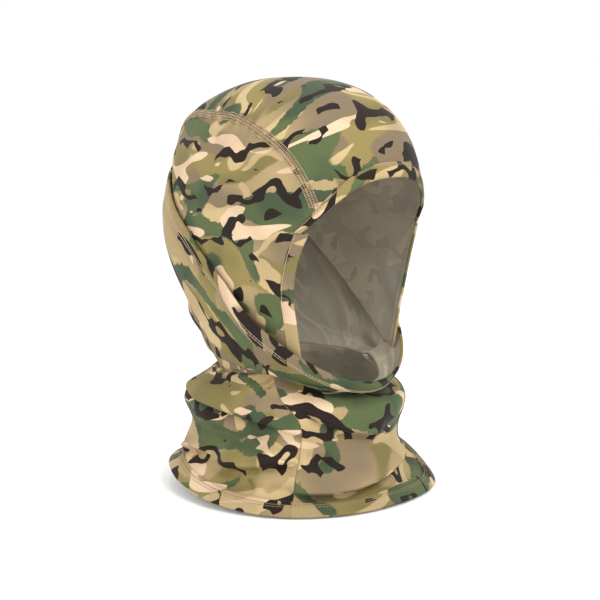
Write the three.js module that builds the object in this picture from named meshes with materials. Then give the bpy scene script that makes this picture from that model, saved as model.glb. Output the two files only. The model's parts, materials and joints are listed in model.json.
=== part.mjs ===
// Camouflage hood with a pull-up mask (balaclava), in millimetres.
// +Z is up, the face looks along -Y, the wearer's left is +X.
// The origin is the inside of the crown, where the top of the head carries the hood.
// Every panel is a thin closed body that lies on one of three forms:
// the head form (hood), the tilted hem loop (mask) and the neck form (neck tube and skirt).
import * as THREE from 'three';
import { ParametricGeometry } from 'three/addons/geometries/ParametricGeometry.js';
import { mergeVertices } from 'three/addons/utils/BufferGeometryUtils.js';

// ---------------------------------------------------------------- driving dimensions
const GAP = 0.35; // clear space between neighbouring pieces
const OVER_GAP = 0.9; // clear space under a piece that lies on a curved panel
const CLOTH = 1.0; // thickness of one layer of knit with its loft
const HEM_CLOTH = 1.8; // a turned hem: two layers
const THREAD = 0.4; // height of a row of stitches

// Head form: a superellipsoid above the widest level, level sections below it.
const HEAD_EXPONENT = 2.35;
const HEAD_LEVEL = -92; // height of the widest level
const HEAD_RISE = 92; // from the widest level up to the crown
const HEAD_MID_Y = 2;
// height, half width, front length, back length
const HEAD_SECTIONS = [
  [-92, 75, 98, 97],
  [-120, 73.5, 95, 92],
  [-150, 70, 90, 79],
  [-180, 64, 84, 67],
  [-205, 60, 80, 62],
  [-240, 60, 80, 62],
];

// Crown panel: half width (degrees to the side) along the way from brow (0) over the top (90) to the back (180).
const CROWN_HALF_WIDTH = [
  [0, 35.5],
  [28, 41],
  [60, 45],
  [90, 43],
  [111, 39],
  [136, 28],
  [170, 22],
  [215, 19],
];
const CROWN_END = 188; // the panel ends on the nape, inside the gaiter
const BROW_ANGLE = 20; // upper edge of the brow binding, at the middle
const BROW_DROP = 27; // how much lower that edge is at the temple
const TEMPLE_ANGLE = 42.6; // the temple, in degrees to the side
const BROW_WIDTH = 6.2; // width of the binding, degrees (10 mm)
const BROW_END = 41; // the binding's end, degrees to the side

// Cheek edge of the face opening: height, y
const CHEEK_EDGE = [
  [-100, -65],
  [-113, -63],
  [-131, -59],
  [-150, -56],
  [-172, -55],
  [-205, -54],
];
const CHEEK_TOP = -108;
const CHEEK_BOTTOM = -198;
const CHEEK_HEM = 8.5;
const EAR = new THREE.Vector3(-75, 5, -100); // middle of the side panel
// Lower edge of the side panel, inside the gaiter: y, z
const SIDE_BOTTOM = [
  [56, -121],
  [4, -165],
  [-38, -196],
];

// Mask: a hem loop in a tilted plane through the hinge line on the occiput.
const HINGE_Y = 82;
const HINGE_Z = -72;
const HEM_TILT = THREE.MathUtils.degToRad(40.5);
const LOOP_MIDDLE = 95; // distance of the widest point from the hinge line
const LOOP_HALF_WIDTH = 79.5;
const LOOP_BACK = 122;
const LOOP_FRONT = 121;
const LOOP_BACK_EXPONENT = 2.5;
const LOOP_FRONT_EXPONENT = 2;
const MASK_START = -42; // loop angle where the moving part of the gaiter begins
const MASK_HEM = 10;
const MASK_DEEPEST = 26; // depth of the moving band at the cheek
const MASK_CHIN = 15; // and under the chin

// Neck form: height, half width, middle y, half length
const NECK_SECTIONS = [
  [-195, 60, -14, 74],
  [-207.5, 60, -14, 75],
  [-225, 68, -4, 82],
  [-240, 70, 0, 85],
  [-257, 69, 2, 83],
  [-270, 70, 5, 84],
  [-282, 75, 6, 87],
  [-291, 82, 4, 89],
  [-296.6, 87, 0, 89],
];
const NECK_TOP = -207.5;
const NECK_BOTTOM = -296.6;
const CHIN_DROP = 12; // how much lower the front panel starts under the chin
const SEAM_TOP = -22; // loop angle of the side seam at the crease
const SEAM_BOTTOM = -43; // and at the skirt
const CREASE_TIP = -20; // loop angle where the nape panel ends at the front
const SKIRT_HALF_WIDTH = 98;
const SKIRT_HALF_LENGTH = 100;
const SKIRT_Z = -300;
const SKIRT_HEM = 12;

// ---------------------------------------------------------------- materials
const cloth = (color) => new THREE.MeshStandardMaterial({ color, roughness: 0.85, metalness: 0 });
const TAN = 0xb3a079;
const GREEN = 0x5c6a45;
const BROWN = 0x7d6945;
const THREAD_TAN = 0xbfa88a;

// ---------------------------------------------------------------- small helpers
const rad = THREE.MathUtils.degToRad;
const mix = (a, b, t) => a + (b - a) * t;
const smooth = (t) => THREE.MathUtils.smoothstep(t, 0, 1);

// Smooth reading of a table whose first column only falls or only rises.
function readTable(table, key, column) {
  const rising = table[table.length - 1][0] > table[0][0];
  const inside = (i) => (rising ? key < table[i][0] : key > table[i][0]);
  let i = 1;
  while (i < table.length - 1 && !inside(i)) i += 1;
  const at = (k) => table[THREE.MathUtils.clamp(k, 0, table.length - 1)];
  const [k0, k1] = [at(i - 1)[0], at(i)[0]];
  const t = THREE.MathUtils.clamp((key - k0) / (k1 - k0), 0, 1);
  const slope = (k) => (at(k + 1)[column] - at(k - 1)[column]) / (at(k + 1)[0] - at(k - 1)[0]);
  const [m0, m1] = [slope(i - 1) * (k1 - k0), slope(i) * (k1 - k0)];
  const [p0, p1] = [at(i - 1)[column], at(i)[column]];
  const t2 = t * t;
  const t3 = t2 * t;
  return (2 * t3 - 3 * t2 + 1) * p0 + (t3 - 2 * t2 + t) * m0 + (3 * t2 - 2 * t3) * p1 + (t3 - t2) * m1;
}

// ---------------------------------------------------------------- head form
function headLevel(point) {
  const z = Math.min(point.z, HEAD_LEVEL);
  const dy = point.y - HEAD_MID_Y;
  const width = readTable(HEAD_SECTIONS, z, 1);
  const length = readTable(HEAD_SECTIONS, z, dy < 0 ? 2 : 3);
  const rise = Math.max(point.z - HEAD_LEVEL, 0) / HEAD_RISE;
  const sum =
    Math.abs(point.x / width) ** HEAD_EXPONENT +
    Math.abs(dy / length) ** HEAD_EXPONENT +
    rise ** HEAD_EXPONENT;
  return sum ** (1 / HEAD_EXPONENT);
}

const HEAD_CENTRE = new THREE.Vector3(0, HEAD_MID_Y, HEAD_LEVEL);

function snapToHead(direction) {
  const way = direction.clone().normalize();
  let [near, far] = [20, 260];
  for (let step = 0; step < 40; step += 1) {
    const middle = (near + far) / 2;
    const point = HEAD_CENTRE.clone().addScaledVector(way, middle);
    if (headLevel(point) < 1) near = middle;
    else far = middle;
  }
  return HEAD_CENTRE.clone().addScaledVector(way, near);
}

function headNormal(point) {
  const step = 0.5;
  const slope = (axis) => {
    const more = point.clone();
    const less = point.clone();
    more[axis] += step;
    less[axis] -= step;
    return headLevel(more) - headLevel(less);
  };
  return new THREE.Vector3(slope('x'), slope('y'), slope('z')).normalize();
}

// A point of the head form from its angle over the head and its angle to the side (right is minus).
function overHead(over, side) {
  const [a, b] = [rad(over), rad(side)];
  return snapToHead(
    new THREE.Vector3(Math.sin(b), -Math.cos(b) * Math.cos(a), Math.cos(b) * Math.sin(a)),
  );
}

// The right side of the head form at a given y and z.
function headSide(y, z) {
  const level = Math.min(z, HEAD_LEVEL);
  const dy = y - HEAD_MID_Y;
  const width = readTable(HEAD_SECTIONS, level, 1);
  const length = readTable(HEAD_SECTIONS, level, dy < 0 ? 2 : 3);
  const rise = Math.max(z - HEAD_LEVEL, 0) / HEAD_RISE;
  const rest = 1 - Math.abs(dy / length) ** HEAD_EXPONENT - rise ** HEAD_EXPONENT;
  return new THREE.Vector3(-width * Math.max(rest, 0) ** (1 / HEAD_EXPONENT), y, z);
}

const mirrored = (point) => new THREE.Vector3(-point.x, point.y, point.z);

// ---------------------------------------------------------------- closed thin bodies
// A body between two offsets of a surface. surface(u, v) gives { point, normal }.
// kind 'strip' has two ends along u, 'ring' closes on itself along u,
// 'patch' closes along u and runs from a pole at v = 0 to its border at v = 1.
function thinBody(surface, kind, steps, across, low, high) {
  const patch = kind === 'patch';
  const strip = kind === 'strip';
  const loop = 2 * across + (patch ? 1 : 2);
  const rows = strip ? steps + 2 : steps;
  const geometry = new ParametricGeometry(
    (s, t, target) => {
      let column = Math.round(s * loop);
      if (!patch) column %= loop;
      const row = Math.round(t * rows);
      const outside = column <= across;
      const v = (outside ? column : 2 * across + 1 - column) / across;
      const cap = strip && (row === 0 || row === rows);
      const u = strip ? THREE.MathUtils.clamp((row - 1) / steps, 0, 1) : (row % rows) / rows;
      const { point, normal } = surface(u, v);
      const full = outside ? high : low;
      target.copy(point).addScaledVector(normal, cap ? (low + high) / 2 : full);
    },
    loop,
    rows,
  );
  geometry.deleteAttribute('normal');
  geometry.deleteAttribute('uv');
  return facingOut(mergeVertices(geometry, 1e-4));
}

// Drops triangles that have no area and turns the body so that its faces point out.
function facingOut(geometry) {
  const place = geometry.getAttribute('position');
  const [a, b, c] = [new THREE.Vector3(), new THREE.Vector3(), new THREE.Vector3()];
  const kept = [];
  let volume = 0;
  for (let i = 0; i < geometry.index.count; i += 3) {
    const corner = [0, 1, 2].map((k) => geometry.index.getX(i + k));
    if (new Set(corner).size < 3) continue;
    kept.push(corner);
    a.fromBufferAttribute(place, corner[0]);
    b.fromBufferAttribute(place, corner[1]);
    c.fromBufferAttribute(place, corner[2]);
    volume += a.dot(b.cross(c));
  }
  const order = volume < 0 ? [0, 2, 1] : [0, 1, 2];
  geometry.setIndex(kept.flatMap((corner) => order.map((k) => corner[k])));
  geometry.computeVertexNormals();
  return geometry;
}

// A surface that lies on the head form.
const onHead = (place) => (u, v) => {
  const point = place(u, v);
  return { point, normal: headNormal(point) };
};

// A surface given by its points alone; its normal points away from the vertical middle line.
const freeForm = (place) => (u, v) => {
  const step = 1e-3;
  const point = place(u, v);
  const alongU = place(u + step, v).sub(place(u - step, v));
  const alongV = place(u, v + step).sub(place(u, v - step));
  const normal = alongU.cross(alongV).normalize();
  const outward = new THREE.Vector3(point.x, point.y, 0);
  if (normal.dot(outward) < 0) normal.negate();
  return { point, normal };
};

const otherSide = (surface) => (u, v) => {
  const { point, normal } = surface(u, v);
  return { point: mirrored(point), normal: mirrored(normal) };
};

// ---------------------------------------------------------------- assembly
const object = new THREE.Group();

function add(name, color, geometry) {
  const mesh = new THREE.Mesh(geometry, cloth(color));
  mesh.name = name;
  object.add(mesh);
}

function addPair(name, color, surface, ...shape) {
  add(`${name}_right`, color, thinBody(surface, ...shape));
  add(`${name}_left`, color, thinBody(otherSide(surface), ...shape));
}

// ---------------------------------------------------------------- hood: crown
const crownHalfWidth = (over) => readTable(CROWN_HALF_WIDTH, over, 1);
const browEdge = (side) => BROW_ANGLE - BROW_DROP * (Math.abs(side) / TEMPLE_ANGLE) ** 2.6;
const BROW_SIDE = crownHalfWidth(4); // the seam meets the binding here

const crown = onHead((u, v) => {
  const across = 2 * v - 1;
  const over = mix(browEdge(across * BROW_SIDE), CROWN_END, u);
  return overHead(over, across * crownHalfWidth(over));
});
add('crown_panel', TAN, thinBody(crown, 'strip', 20, 10, 0, CLOTH));

const SEAM_HALF = 2.4; // half width of the flatlock seam, degrees
const SEAM_START = browEdge(BROW_SIDE) + 3;
const crownSeam = onHead((u, v) => {
  const over = mix(SEAM_START, CROWN_END - 2, u);
  return overHead(over, -crownHalfWidth(over) + (2 * v - 1) * SEAM_HALF);
});
const SEAM_LOW = CLOTH + OVER_GAP;
addPair('crown_seam', THREAD_TAN, crownSeam, 'strip', 24, 1, SEAM_LOW, SEAM_LOW + THREAD);

// ---------------------------------------------------------------- hood: brow
const BROW_GAP = 0.7; // degrees between the binding and the crown panel
const brow = onHead((u, v) => {
  const side = mix(-BROW_END, BROW_END, u);
  return overHead(browEdge(side) - BROW_GAP - v * BROW_WIDTH, side);
});
const BINDING_LOW = -0.5;
const BINDING_HIGH = 1.7;
add('brow_binding', BROWN, thinBody(brow, 'strip', 24, 2, BINDING_LOW, BINDING_HIGH));

const browStitching = onHead((u, v) => {
  const side = mix(-BROW_END + 1, BROW_END - 1, u);
  return overHead(browEdge(side) - 1.6 - v * 1.2, side);
});
const BROW_THREAD = BINDING_HIGH + OVER_GAP;
add('brow_stitching', THREAD_TAN, thinBody(browStitching, 'strip', 24, 1, BROW_THREAD, BROW_THREAD + THREAD));

// ---------------------------------------------------------------- hood: cheeks
const cheekEdge = (z) => readTable(CHEEK_EDGE, z, 1);

const cheekHem = onHead((u, v) => {
  const z = mix(CHEEK_TOP, CHEEK_BOTTOM, u);
  return headSide(cheekEdge(z) + v * CHEEK_HEM, z);
});
const CHEEK_LOW = -0.4;
const CHEEK_HIGH = 1.4;
addPair('cheek_hem', TAN, cheekHem, 'strip', 16, 2, CHEEK_LOW, CHEEK_HIGH);

const cheekStitching = onHead((u, v) => {
  const z = mix(CHEEK_TOP - 1, CHEEK_BOTTOM + 12, u);
  return headSide(cheekEdge(z) + CHEEK_HEM - 2.4 + v * 1.4, z);
});
const CHEEK_THREAD = CHEEK_HIGH + OVER_GAP;
addPair('cheek_stitching', THREAD_TAN, cheekStitching, 'strip', 16, 1, CHEEK_THREAD, CHEEK_THREAD + THREAD);

// ---------------------------------------------------------------- hood: side panels
// The border runs along the crown seam, down the nape, along the hidden lower edge and up the cheek hem.
function sideBorder() {
  const border = [];
  const seamGap = 0.35;
  const start = browEdge(BROW_SIDE);
  for (let i = 0; i <= 20; i += 1) {
    const over = mix(start, CROWN_END, i / 20);
    border.push(overHead(over, -crownHalfWidth(over) - seamGap));
  }
  const bottom = SIDE_BOTTOM.map(([y, z]) => headSide(y, z));
  const lower = new THREE.CatmullRomCurve3([border[20], ...bottom]);
  for (let i = 1; i <= 9; i += 1) border.push(lower.getPoint(i / 9));
  for (let i = 0; i <= 8; i += 1) {
    const z = mix(CHEEK_BOTTOM + 2, CHEEK_TOP, i / 8);
    border.push(headSide(cheekEdge(z) + CHEEK_HEM + 0.6, z));
  }
  for (let i = 0; i <= 2; i += 1) {
    const side = mix(BROW_END, BROW_SIDE + 1, i / 2);
    border.push(overHead(browEdge(side) + 0.3, -side));
  }
  return border;
}

const border = sideBorder();
const earWay = EAR.clone().sub(HEAD_CENTRE).normalize();
const sidePanel = onHead((u, v) => {
  const edge = border[Math.round(u * border.length) % border.length];
  const edgeWay = edge.clone().sub(HEAD_CENTRE).normalize();
  return snapToHead(earWay.clone().lerp(edgeWay, v));
});
addPair('side_panel', TAN, sidePanel, 'patch', border.length, 6, 0, CLOTH);

// ---------------------------------------------------------------- mask: hem loop
// The loop angle is 0 at the right cheek, 90 under the chin, 180 at the left cheek and 270 behind the head.
const signedPower = (value, power) => Math.sign(value) * Math.abs(value) ** power;

function loopPlace(angle) {
  const [sine, cosine] = [Math.sin(rad(angle)), Math.cos(rad(angle))];
  const front = sine > 0;
  const power = 2 / (front ? LOOP_FRONT_EXPONENT : LOOP_BACK_EXPONENT);
  const reach = LOOP_MIDDLE + (front ? LOOP_FRONT : LOOP_BACK) * signedPower(sine, power);
  return { reach, x: -LOOP_HALF_WIDTH * signedPower(cosine, power), sine };
}

// A point of the gaiter: depth is measured down from the loop, square to it at the cheeks
// and straight down behind the head.
function gaiterPoint(angle, depth) {
  const { reach, x, sine } = loopPlace(angle);
  const square = smooth((sine + 0.6) / 1.0);
  const down = new THREE.Vector3(0, 0.12, -1).lerp(
    new THREE.Vector3(0, Math.sin(HEM_TILT), -Math.cos(HEM_TILT)),
    square,
  );
  const top = new THREE.Vector3(
    x,
    HINGE_Y - reach * Math.cos(HEM_TILT),
    HINGE_Z - reach * Math.sin(HEM_TILT),
  );
  return top.addScaledVector(down.normalize(), depth);
}

// Depth of the moving band along the loop.
function bandDepth(angle) {
  const { reach } = loopPlace(angle);
  const cheek = (MASK_DEEPEST - MASK_HEM) * smooth((reach + 6) / 80);
  const chin = (MASK_DEEPEST - MASK_CHIN) * smooth((reach - 130) / 40);
  return MASK_HEM + cheek - chin;
}

const maskAngle = (u) => mix(MASK_START, 180 - MASK_START, u);

const maskHem = freeForm((u, v) => gaiterPoint(maskAngle(u), v * MASK_HEM));
add('mask_hem', TAN, thinBody(maskHem, 'strip', 40, 2, -HEM_CLOTH / 2, HEM_CLOTH / 2));

const maskPanel = freeForm((u, v) => {
  const angle = maskAngle(u);
  return gaiterPoint(angle, mix(MASK_HEM + GAP, bandDepth(angle), v));
});
add('mask_panel', GREEN, thinBody(maskPanel, 'strip', 40, 2, -CLOTH / 2, CLOTH / 2));

const STITCH_LOW = HEM_CLOTH / 2 + OVER_GAP;
const maskStitching = freeForm((u, v) => gaiterPoint(maskAngle(mix(0.01, 0.99, u)), mix(6.2, 9, v)));
add('mask_stitching', THREAD_TAN, thinBody(maskStitching, 'strip', 40, 1, STITCH_LOW, STITCH_LOW + THREAD));

// ---------------------------------------------------------------- nape: the part of the gaiter that stays
const NAPE_GAP = 1; // degrees between the moving and the fixed hem
const napeAngle = (u) => mix(MASK_START - NAPE_GAP, -180 - MASK_START + NAPE_GAP, u);
const napeHem = freeForm((u, v) => gaiterPoint(napeAngle(u), v * MASK_HEM));
add('nape_hem', TAN, thinBody(napeHem, 'strip', 20, 2, -HEM_CLOTH / 2, HEM_CLOTH / 2));

const napeStitching = freeForm((u, v) => gaiterPoint(napeAngle(mix(0.02, 0.98, u)), mix(6.2, 9, v)));
add('nape_stitching', THREAD_TAN, thinBody(napeStitching, 'strip', 20, 1, STITCH_LOW, STITCH_LOW + THREAD));

// ---------------------------------------------------------------- neck form
function neckPoint(angle, z) {
  const width = readTable(NECK_SECTIONS, z, 1);
  const middle = readTable(NECK_SECTIONS, z, 2);
  const length = readTable(NECK_SECTIONS, z, 3);
  return new THREE.Vector3(-width * Math.cos(rad(angle)), middle + length * Math.sin(rad(angle)), z);
}

// The nape panel hangs from the hem loop behind the head and is drawn in at the crease of the neck.
const NAPE_TIP = 36; // loop angle of the panel's front tip
const NAPE_SWELL = new THREE.Vector3(0, 108, -118); // what the back of the head pushes out
const napePanel = freeForm((u, v) => {
  const angle = mix(NAPE_TIP, -180 - NAPE_TIP, u);
  const top = gaiterPoint(angle, bandDepth(angle) + OVER_GAP);
  const bottom = neckPoint(mix(CREASE_TIP, 180 - CREASE_TIP, u), NECK_TOP + OVER_GAP);
  const behind = Math.max(-loopPlace(angle).sine, 0) ** 2;
  const swell = top.clone().lerp(bottom, 0.5);
  swell.x *= 1.03;
  swell.y = mix(swell.y, NAPE_SWELL.y, behind);
  swell.z = mix(swell.z, NAPE_SWELL.z, behind);
  return new THREE.QuadraticBezierCurve3(top, swell, bottom).getPoint(v);
});
add('nape_panel', GREEN, thinBody(napePanel, 'strip', 36, 7, -CLOTH / 2, CLOTH / 2));

// ---------------------------------------------------------------- neck tube and skirt
const seamAngle = (t) => mix(SEAM_TOP, SEAM_BOTTOM, smooth(t * 2.5));

// The upper edge dips under the chin.
function neckTop(angle) {
  const frontness = Math.max(-Math.sin(rad(angle)), 0);
  return NECK_TOP - CHIN_DROP * smooth((frontness - 0.35) / 0.6);
}

const tube = (t, angle) => neckPoint(angle, mix(neckTop(angle), NECK_BOTTOM, t));
const EDGE = 0.3; // degrees from a panel's edge to the seam line

const neckBack = freeForm((u, v) => {
  const seam = seamAngle(v);
  return tube(v, mix(seam + EDGE, 180 - seam - EDGE, u));
});
add('neck_back_panel', GREEN, thinBody(neckBack, 'strip', 36, 9, -CLOTH / 2, CLOTH / 2));

const neckFront = freeForm((u, v) => {
  const seam = seamAngle(v);
  return tube(v, mix(seam - EDGE, -180 - seam + EDGE, u));
});
add('neck_front_panel', GREEN, thinBody(neckFront, 'strip', 20, 9, -CLOTH / 2, CLOTH / 2));

const NECK_SEAM_HALF = 1.6; // degrees
const neckSeam = freeForm((u, v) => {
  const t = mix(0.03, 0.93, u);
  return tube(t, seamAngle(t) + (2 * v - 1) * NECK_SEAM_HALF);
});
const NECK_SEAM_LOW = CLOTH / 2 + OVER_GAP;
addPair('neck_seam', THREAD_TAN, neckSeam, 'strip', 16, 1, NECK_SEAM_LOW, NECK_SEAM_LOW + THREAD);

// The turned hem of the skirt lies flat, so its underside is one level face.
const UP = new THREE.Vector3(0, 0, 1);
const skirt = (from, to) => (angle, v) => {
  const inset = mix(from, to, v);
  const x = -(SKIRT_HALF_WIDTH - inset) * Math.cos(rad(angle));
  const y = (SKIRT_HALF_LENGTH - inset) * Math.sin(rad(angle));
  return { point: new THREE.Vector3(x, y, SKIRT_Z), normal: UP };
};
const hemRing = skirt(0, SKIRT_HEM);
const HEM_EDGE = 0.4;
const hemBack = (u, v) => hemRing(mix(SEAM_BOTTOM + HEM_EDGE, 180 - SEAM_BOTTOM - HEM_EDGE, u), v);
const hemFront = (u, v) => hemRing(mix(SEAM_BOTTOM - HEM_EDGE, -180 - SEAM_BOTTOM + HEM_EDGE, u), v);
add('bottom_hem_back', TAN, thinBody(hemBack, 'strip', 36, 1, 0, HEM_CLOTH));
add('bottom_hem_front', TAN, thinBody(hemFront, 'strip', 24, 1, 0, HEM_CLOTH));

const stitchRing = skirt(6.2, 9);
const bottomStitching = (u, v) => stitchRing(360 * u, v);
const BOTTOM_THREAD = HEM_CLOTH + GAP;
add('bottom_stitching', THREAD_TAN, thinBody(bottomStitching, 'ring', 60, 1, BOTTOM_THREAD, BOTTOM_THREAD + THREAD));

export default object;
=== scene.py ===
# %% [markdown]
# # A camouflage hood with a pull-up mask
# The hood is a thin, stretchy, printed knit. Three panels cover the head, a gaiter is sewn round the
# jaw and can be pulled up over the nose, and a neck tube ends in a skirt that lies on the shoulders.
# The imported model gives the frame: bodies, joint and sizes. Every soft piece is made again here as
# real cloth, and some of them ride on the root body.

# %% Load the frame
import json
import math

import bmesh
import bpy
import numpy as np
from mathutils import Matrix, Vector


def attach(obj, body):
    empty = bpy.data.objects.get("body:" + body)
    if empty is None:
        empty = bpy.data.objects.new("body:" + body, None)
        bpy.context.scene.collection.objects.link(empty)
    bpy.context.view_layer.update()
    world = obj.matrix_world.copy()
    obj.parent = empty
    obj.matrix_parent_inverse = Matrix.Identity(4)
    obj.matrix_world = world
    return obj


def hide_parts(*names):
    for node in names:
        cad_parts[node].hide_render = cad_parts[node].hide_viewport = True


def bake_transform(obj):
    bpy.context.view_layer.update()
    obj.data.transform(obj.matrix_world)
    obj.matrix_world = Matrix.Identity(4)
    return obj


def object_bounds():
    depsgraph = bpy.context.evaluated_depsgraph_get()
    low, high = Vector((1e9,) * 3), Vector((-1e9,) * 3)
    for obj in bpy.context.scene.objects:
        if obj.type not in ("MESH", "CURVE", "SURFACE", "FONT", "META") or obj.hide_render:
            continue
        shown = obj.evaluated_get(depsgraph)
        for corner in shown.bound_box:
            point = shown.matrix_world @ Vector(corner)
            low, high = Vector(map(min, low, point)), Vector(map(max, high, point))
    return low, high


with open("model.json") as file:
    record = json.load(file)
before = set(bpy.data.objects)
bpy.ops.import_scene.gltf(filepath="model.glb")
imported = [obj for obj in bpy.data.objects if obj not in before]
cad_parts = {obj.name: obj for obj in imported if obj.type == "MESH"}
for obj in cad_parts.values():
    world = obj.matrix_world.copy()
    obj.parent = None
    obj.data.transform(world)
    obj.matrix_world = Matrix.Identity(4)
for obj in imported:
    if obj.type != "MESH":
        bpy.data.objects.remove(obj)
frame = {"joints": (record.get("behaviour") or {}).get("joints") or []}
CAD_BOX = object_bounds()
MM = 0.001
LIFT = frame["joints"][0]
HINGE = np.array(LIFT["pos_m"]) / MM
print("hinge line of the mask, mm:", HINGE.round(1), "range", LIFT["range_deg"])
print("CAD box, mm:", [[round(c / MM, 1) for c in corner] for corner in CAD_BOX])

# %% [markdown]
# ## Camera
# The hood is seen from the wearer's front right, a little above the middle of the face. A long lens
# from a metre away keeps the proportions of a head natural, with hardly any widening at the chin.

# %% Camera
CAMERA_AZIMUTH = -45.0
CAMERA_ELEVATION = 8.5
CAMERA_DISTANCE = 1.0
LOOK_AT = Vector((0, 0, -0.163))
camera_data = bpy.data.cameras.new("camera")
camera_data.lens = 80.7
camera_data.shift_x = 0.0067
camera = bpy.data.objects.new("camera", camera_data)
bpy.context.scene.collection.objects.link(camera)
azimuth, elevation = math.radians(CAMERA_AZIMUTH), math.radians(CAMERA_ELEVATION)
back = Vector((math.sin(azimuth) * math.cos(elevation), -math.cos(azimuth) * math.cos(elevation),
               math.sin(elevation)))
camera.location = LOOK_AT + back * CAMERA_DISTANCE
camera.rotation_euler = (LOOK_AT - camera.location).to_track_quat("-Z", "Y").to_euler()
bpy.context.scene.camera = camera
print("camera at", [round(c, 3) for c in camera.location])

# %% [markdown]
# ## Colours and nodes
# Colours are written as sRGB hex values, as a paint chart gives them, and the shaders want linear
# numbers, so one function turns them. One more function adds any node: an input is either a plain
# value, or the output of an earlier node, which then gets linked.


# %% Colours and nodes
def linear(code):
    """An sRGB hex colour as linear RGBA."""
    channels = [int(code[i:i + 2], 16) / 255 for i in (1, 3, 5)]
    return [c / 12.92 if c <= 0.04045 else ((c + 0.055) / 1.055) ** 2.4 for c in channels] + [1.0]


def node(tree, kind, inputs=(), **settings):
    """Adds a node with its settings. An input's value is a number, a colour or another node's output."""
    made = tree.nodes.new(kind)
    for name, value in settings.items():
        setattr(made, name, value)
    for key, value in dict(inputs).items():
        if isinstance(value, bpy.types.NodeSocket):
            tree.links.new(value, made.inputs[key])
        else:
            made.inputs[key].default_value = value
    return made


def new_material(name):
    """A material with an empty node tree, and its Principled shader linked to the output."""
    material = bpy.data.materials.new(name)
    material.use_nodes = True
    tree = material.node_tree
    tree.nodes.clear()
    shader = node(tree, "ShaderNodeBsdfPrincipled")
    node(tree, "ShaderNodeOutputMaterial", {"Surface": shader.outputs["BSDF"]})
    return material, tree, shader


print("khaki #b3a079 in linear light:", [round(c, 3) for c in linear("#b3a079")])

# %% [markdown]
# ## Floor and light
# Sewn goods are shown on white, in soft light that comes from all round, with one larger lamp on the
# side that the camera sees. The bright surround keeps the inside of the hood readable, and the lamps
# give the folds their shaded side.

# %% Floor and light
FLOOR_HALF = 40.0
FLOOR_DROP = 0.0005
floor_z = CAD_BOX[0][2] - FLOOR_DROP
floor_mesh = bpy.data.meshes.new("floor")
floor_corners = [(x * FLOOR_HALF, y * FLOOR_HALF, floor_z) for x, y in ((-1, -1), (1, -1), (1, 1), (-1, 1))]
floor_mesh.from_pydata(floor_corners, [], [(0, 1, 2, 3)])
floor = bpy.data.objects.new("floor", floor_mesh)
bpy.context.scene.collection.objects.link(floor)
paper, _, paper_shader = new_material("matt_white_paper")
paper_shader.inputs["Base Color"].default_value = linear("#ffffff")
paper_shader.inputs["Roughness"].default_value = 1.0
paper_shader.inputs["Specular IOR Level"].default_value = 0.0
floor_mesh.materials.append(paper)

# name, place in metres, width in metres, watts
LAMPS = [
    ("key", (-0.35, -1.35, 1.0), 0.7, 13),
    ("side", (-1.5, -0.3, 0.35), 0.8, 6),
    ("top", (0.4, 0.3, 1.4), 0.8, 5),
]
for name, lamp_place, width, power in LAMPS:
    data = bpy.data.lights.new(name, "AREA")
    data.size = width
    data.energy = power
    lamp = bpy.data.objects.new(name, data)
    bpy.context.scene.collection.objects.link(lamp)
    lamp.location = lamp_place
    lamp.rotation_euler = (LOOK_AT - lamp.location).to_track_quat("-Z", "Y").to_euler()
world = bpy.data.worlds.new("studio")
bpy.context.scene.world = world
world.use_nodes = True
world.node_tree.nodes["Background"].inputs["Color"].default_value = linear("#ffffff")
world.node_tree.nodes["Background"].inputs["Strength"].default_value = 1.0
bpy.context.scene.view_settings.view_transform = "Standard"
print("lamps:", [(name, power) for name, _, _, power in LAMPS])

# %% [markdown]
# ## Three forms that the cloth lies on
# Stretch knit takes the shape of what is under it. The head is a superellipsoid above its widest
# level and a stack of level sections below it, the mask hem is a loop in a tilted plane, and the
# neck is a stack of rings. All of them are the design's own forms, in millimetres.

# %% The head form
HEAD_EXPONENT = 2.35
HEAD_LEVEL = -92.0
HEAD_RISE = 92.0
HEAD_CENTRE = np.array([0.0, 2.0, HEAD_LEVEL])
# height, half width, front length, back length
HEAD_SECTIONS = np.array([
    (-240, 60, 80, 62), (-205, 60, 80, 62), (-180, 64, 84, 67),
    (-150, 70, 90, 79), (-120, 73.5, 95, 92), (-92, 75, 98, 97),
], float)


def read_table(table, key, column):
    """Smooth reading of a table whose first column rises."""
    key = np.clip(key, table[0, 0], table[-1, 0])
    i = np.clip(np.searchsorted(table[:, 0], key, side="right"), 1, len(table) - 1)
    low, high = np.maximum(i - 2, 0), np.minimum(i + 1, len(table) - 1)
    x, y = table[:, 0], table[:, column]
    step = x[i] - x[i - 1]
    t = (key - x[i - 1]) / step
    m0 = (y[i] - y[low]) / (x[i] - x[low]) * step
    m1 = (y[high] - y[i - 1]) / (x[high] - x[i - 1]) * step
    return ((2 * t**3 - 3 * t**2 + 1) * y[i - 1] + (t**3 - 2 * t**2 + t) * m0
            + (3 * t**2 - 2 * t**3) * y[i] + (t**3 - t**2) * m1)


def smooth(t):
    t = np.clip(t, 0, 1)
    return t * t * (3 - 2 * t)


def mix(a, b, t):
    return a + (b - a) * t


def unit(v):
    return v / np.linalg.norm(v, axis=-1, keepdims=True)


def head_level(p):
    """1 on the head form, less inside it."""
    z = np.minimum(p[..., 2], HEAD_LEVEL)
    dy = p[..., 1] - HEAD_CENTRE[1]
    length = np.where(dy < 0, read_table(HEAD_SECTIONS, z, 2), read_table(HEAD_SECTIONS, z, 3))
    rise = np.maximum(p[..., 2] - HEAD_LEVEL, 0) / HEAD_RISE
    total = (np.abs(p[..., 0] / read_table(HEAD_SECTIONS, z, 1)) ** HEAD_EXPONENT
             + np.abs(dy / length) ** HEAD_EXPONENT + rise ** HEAD_EXPONENT)
    return total ** (1 / HEAD_EXPONENT)


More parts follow.
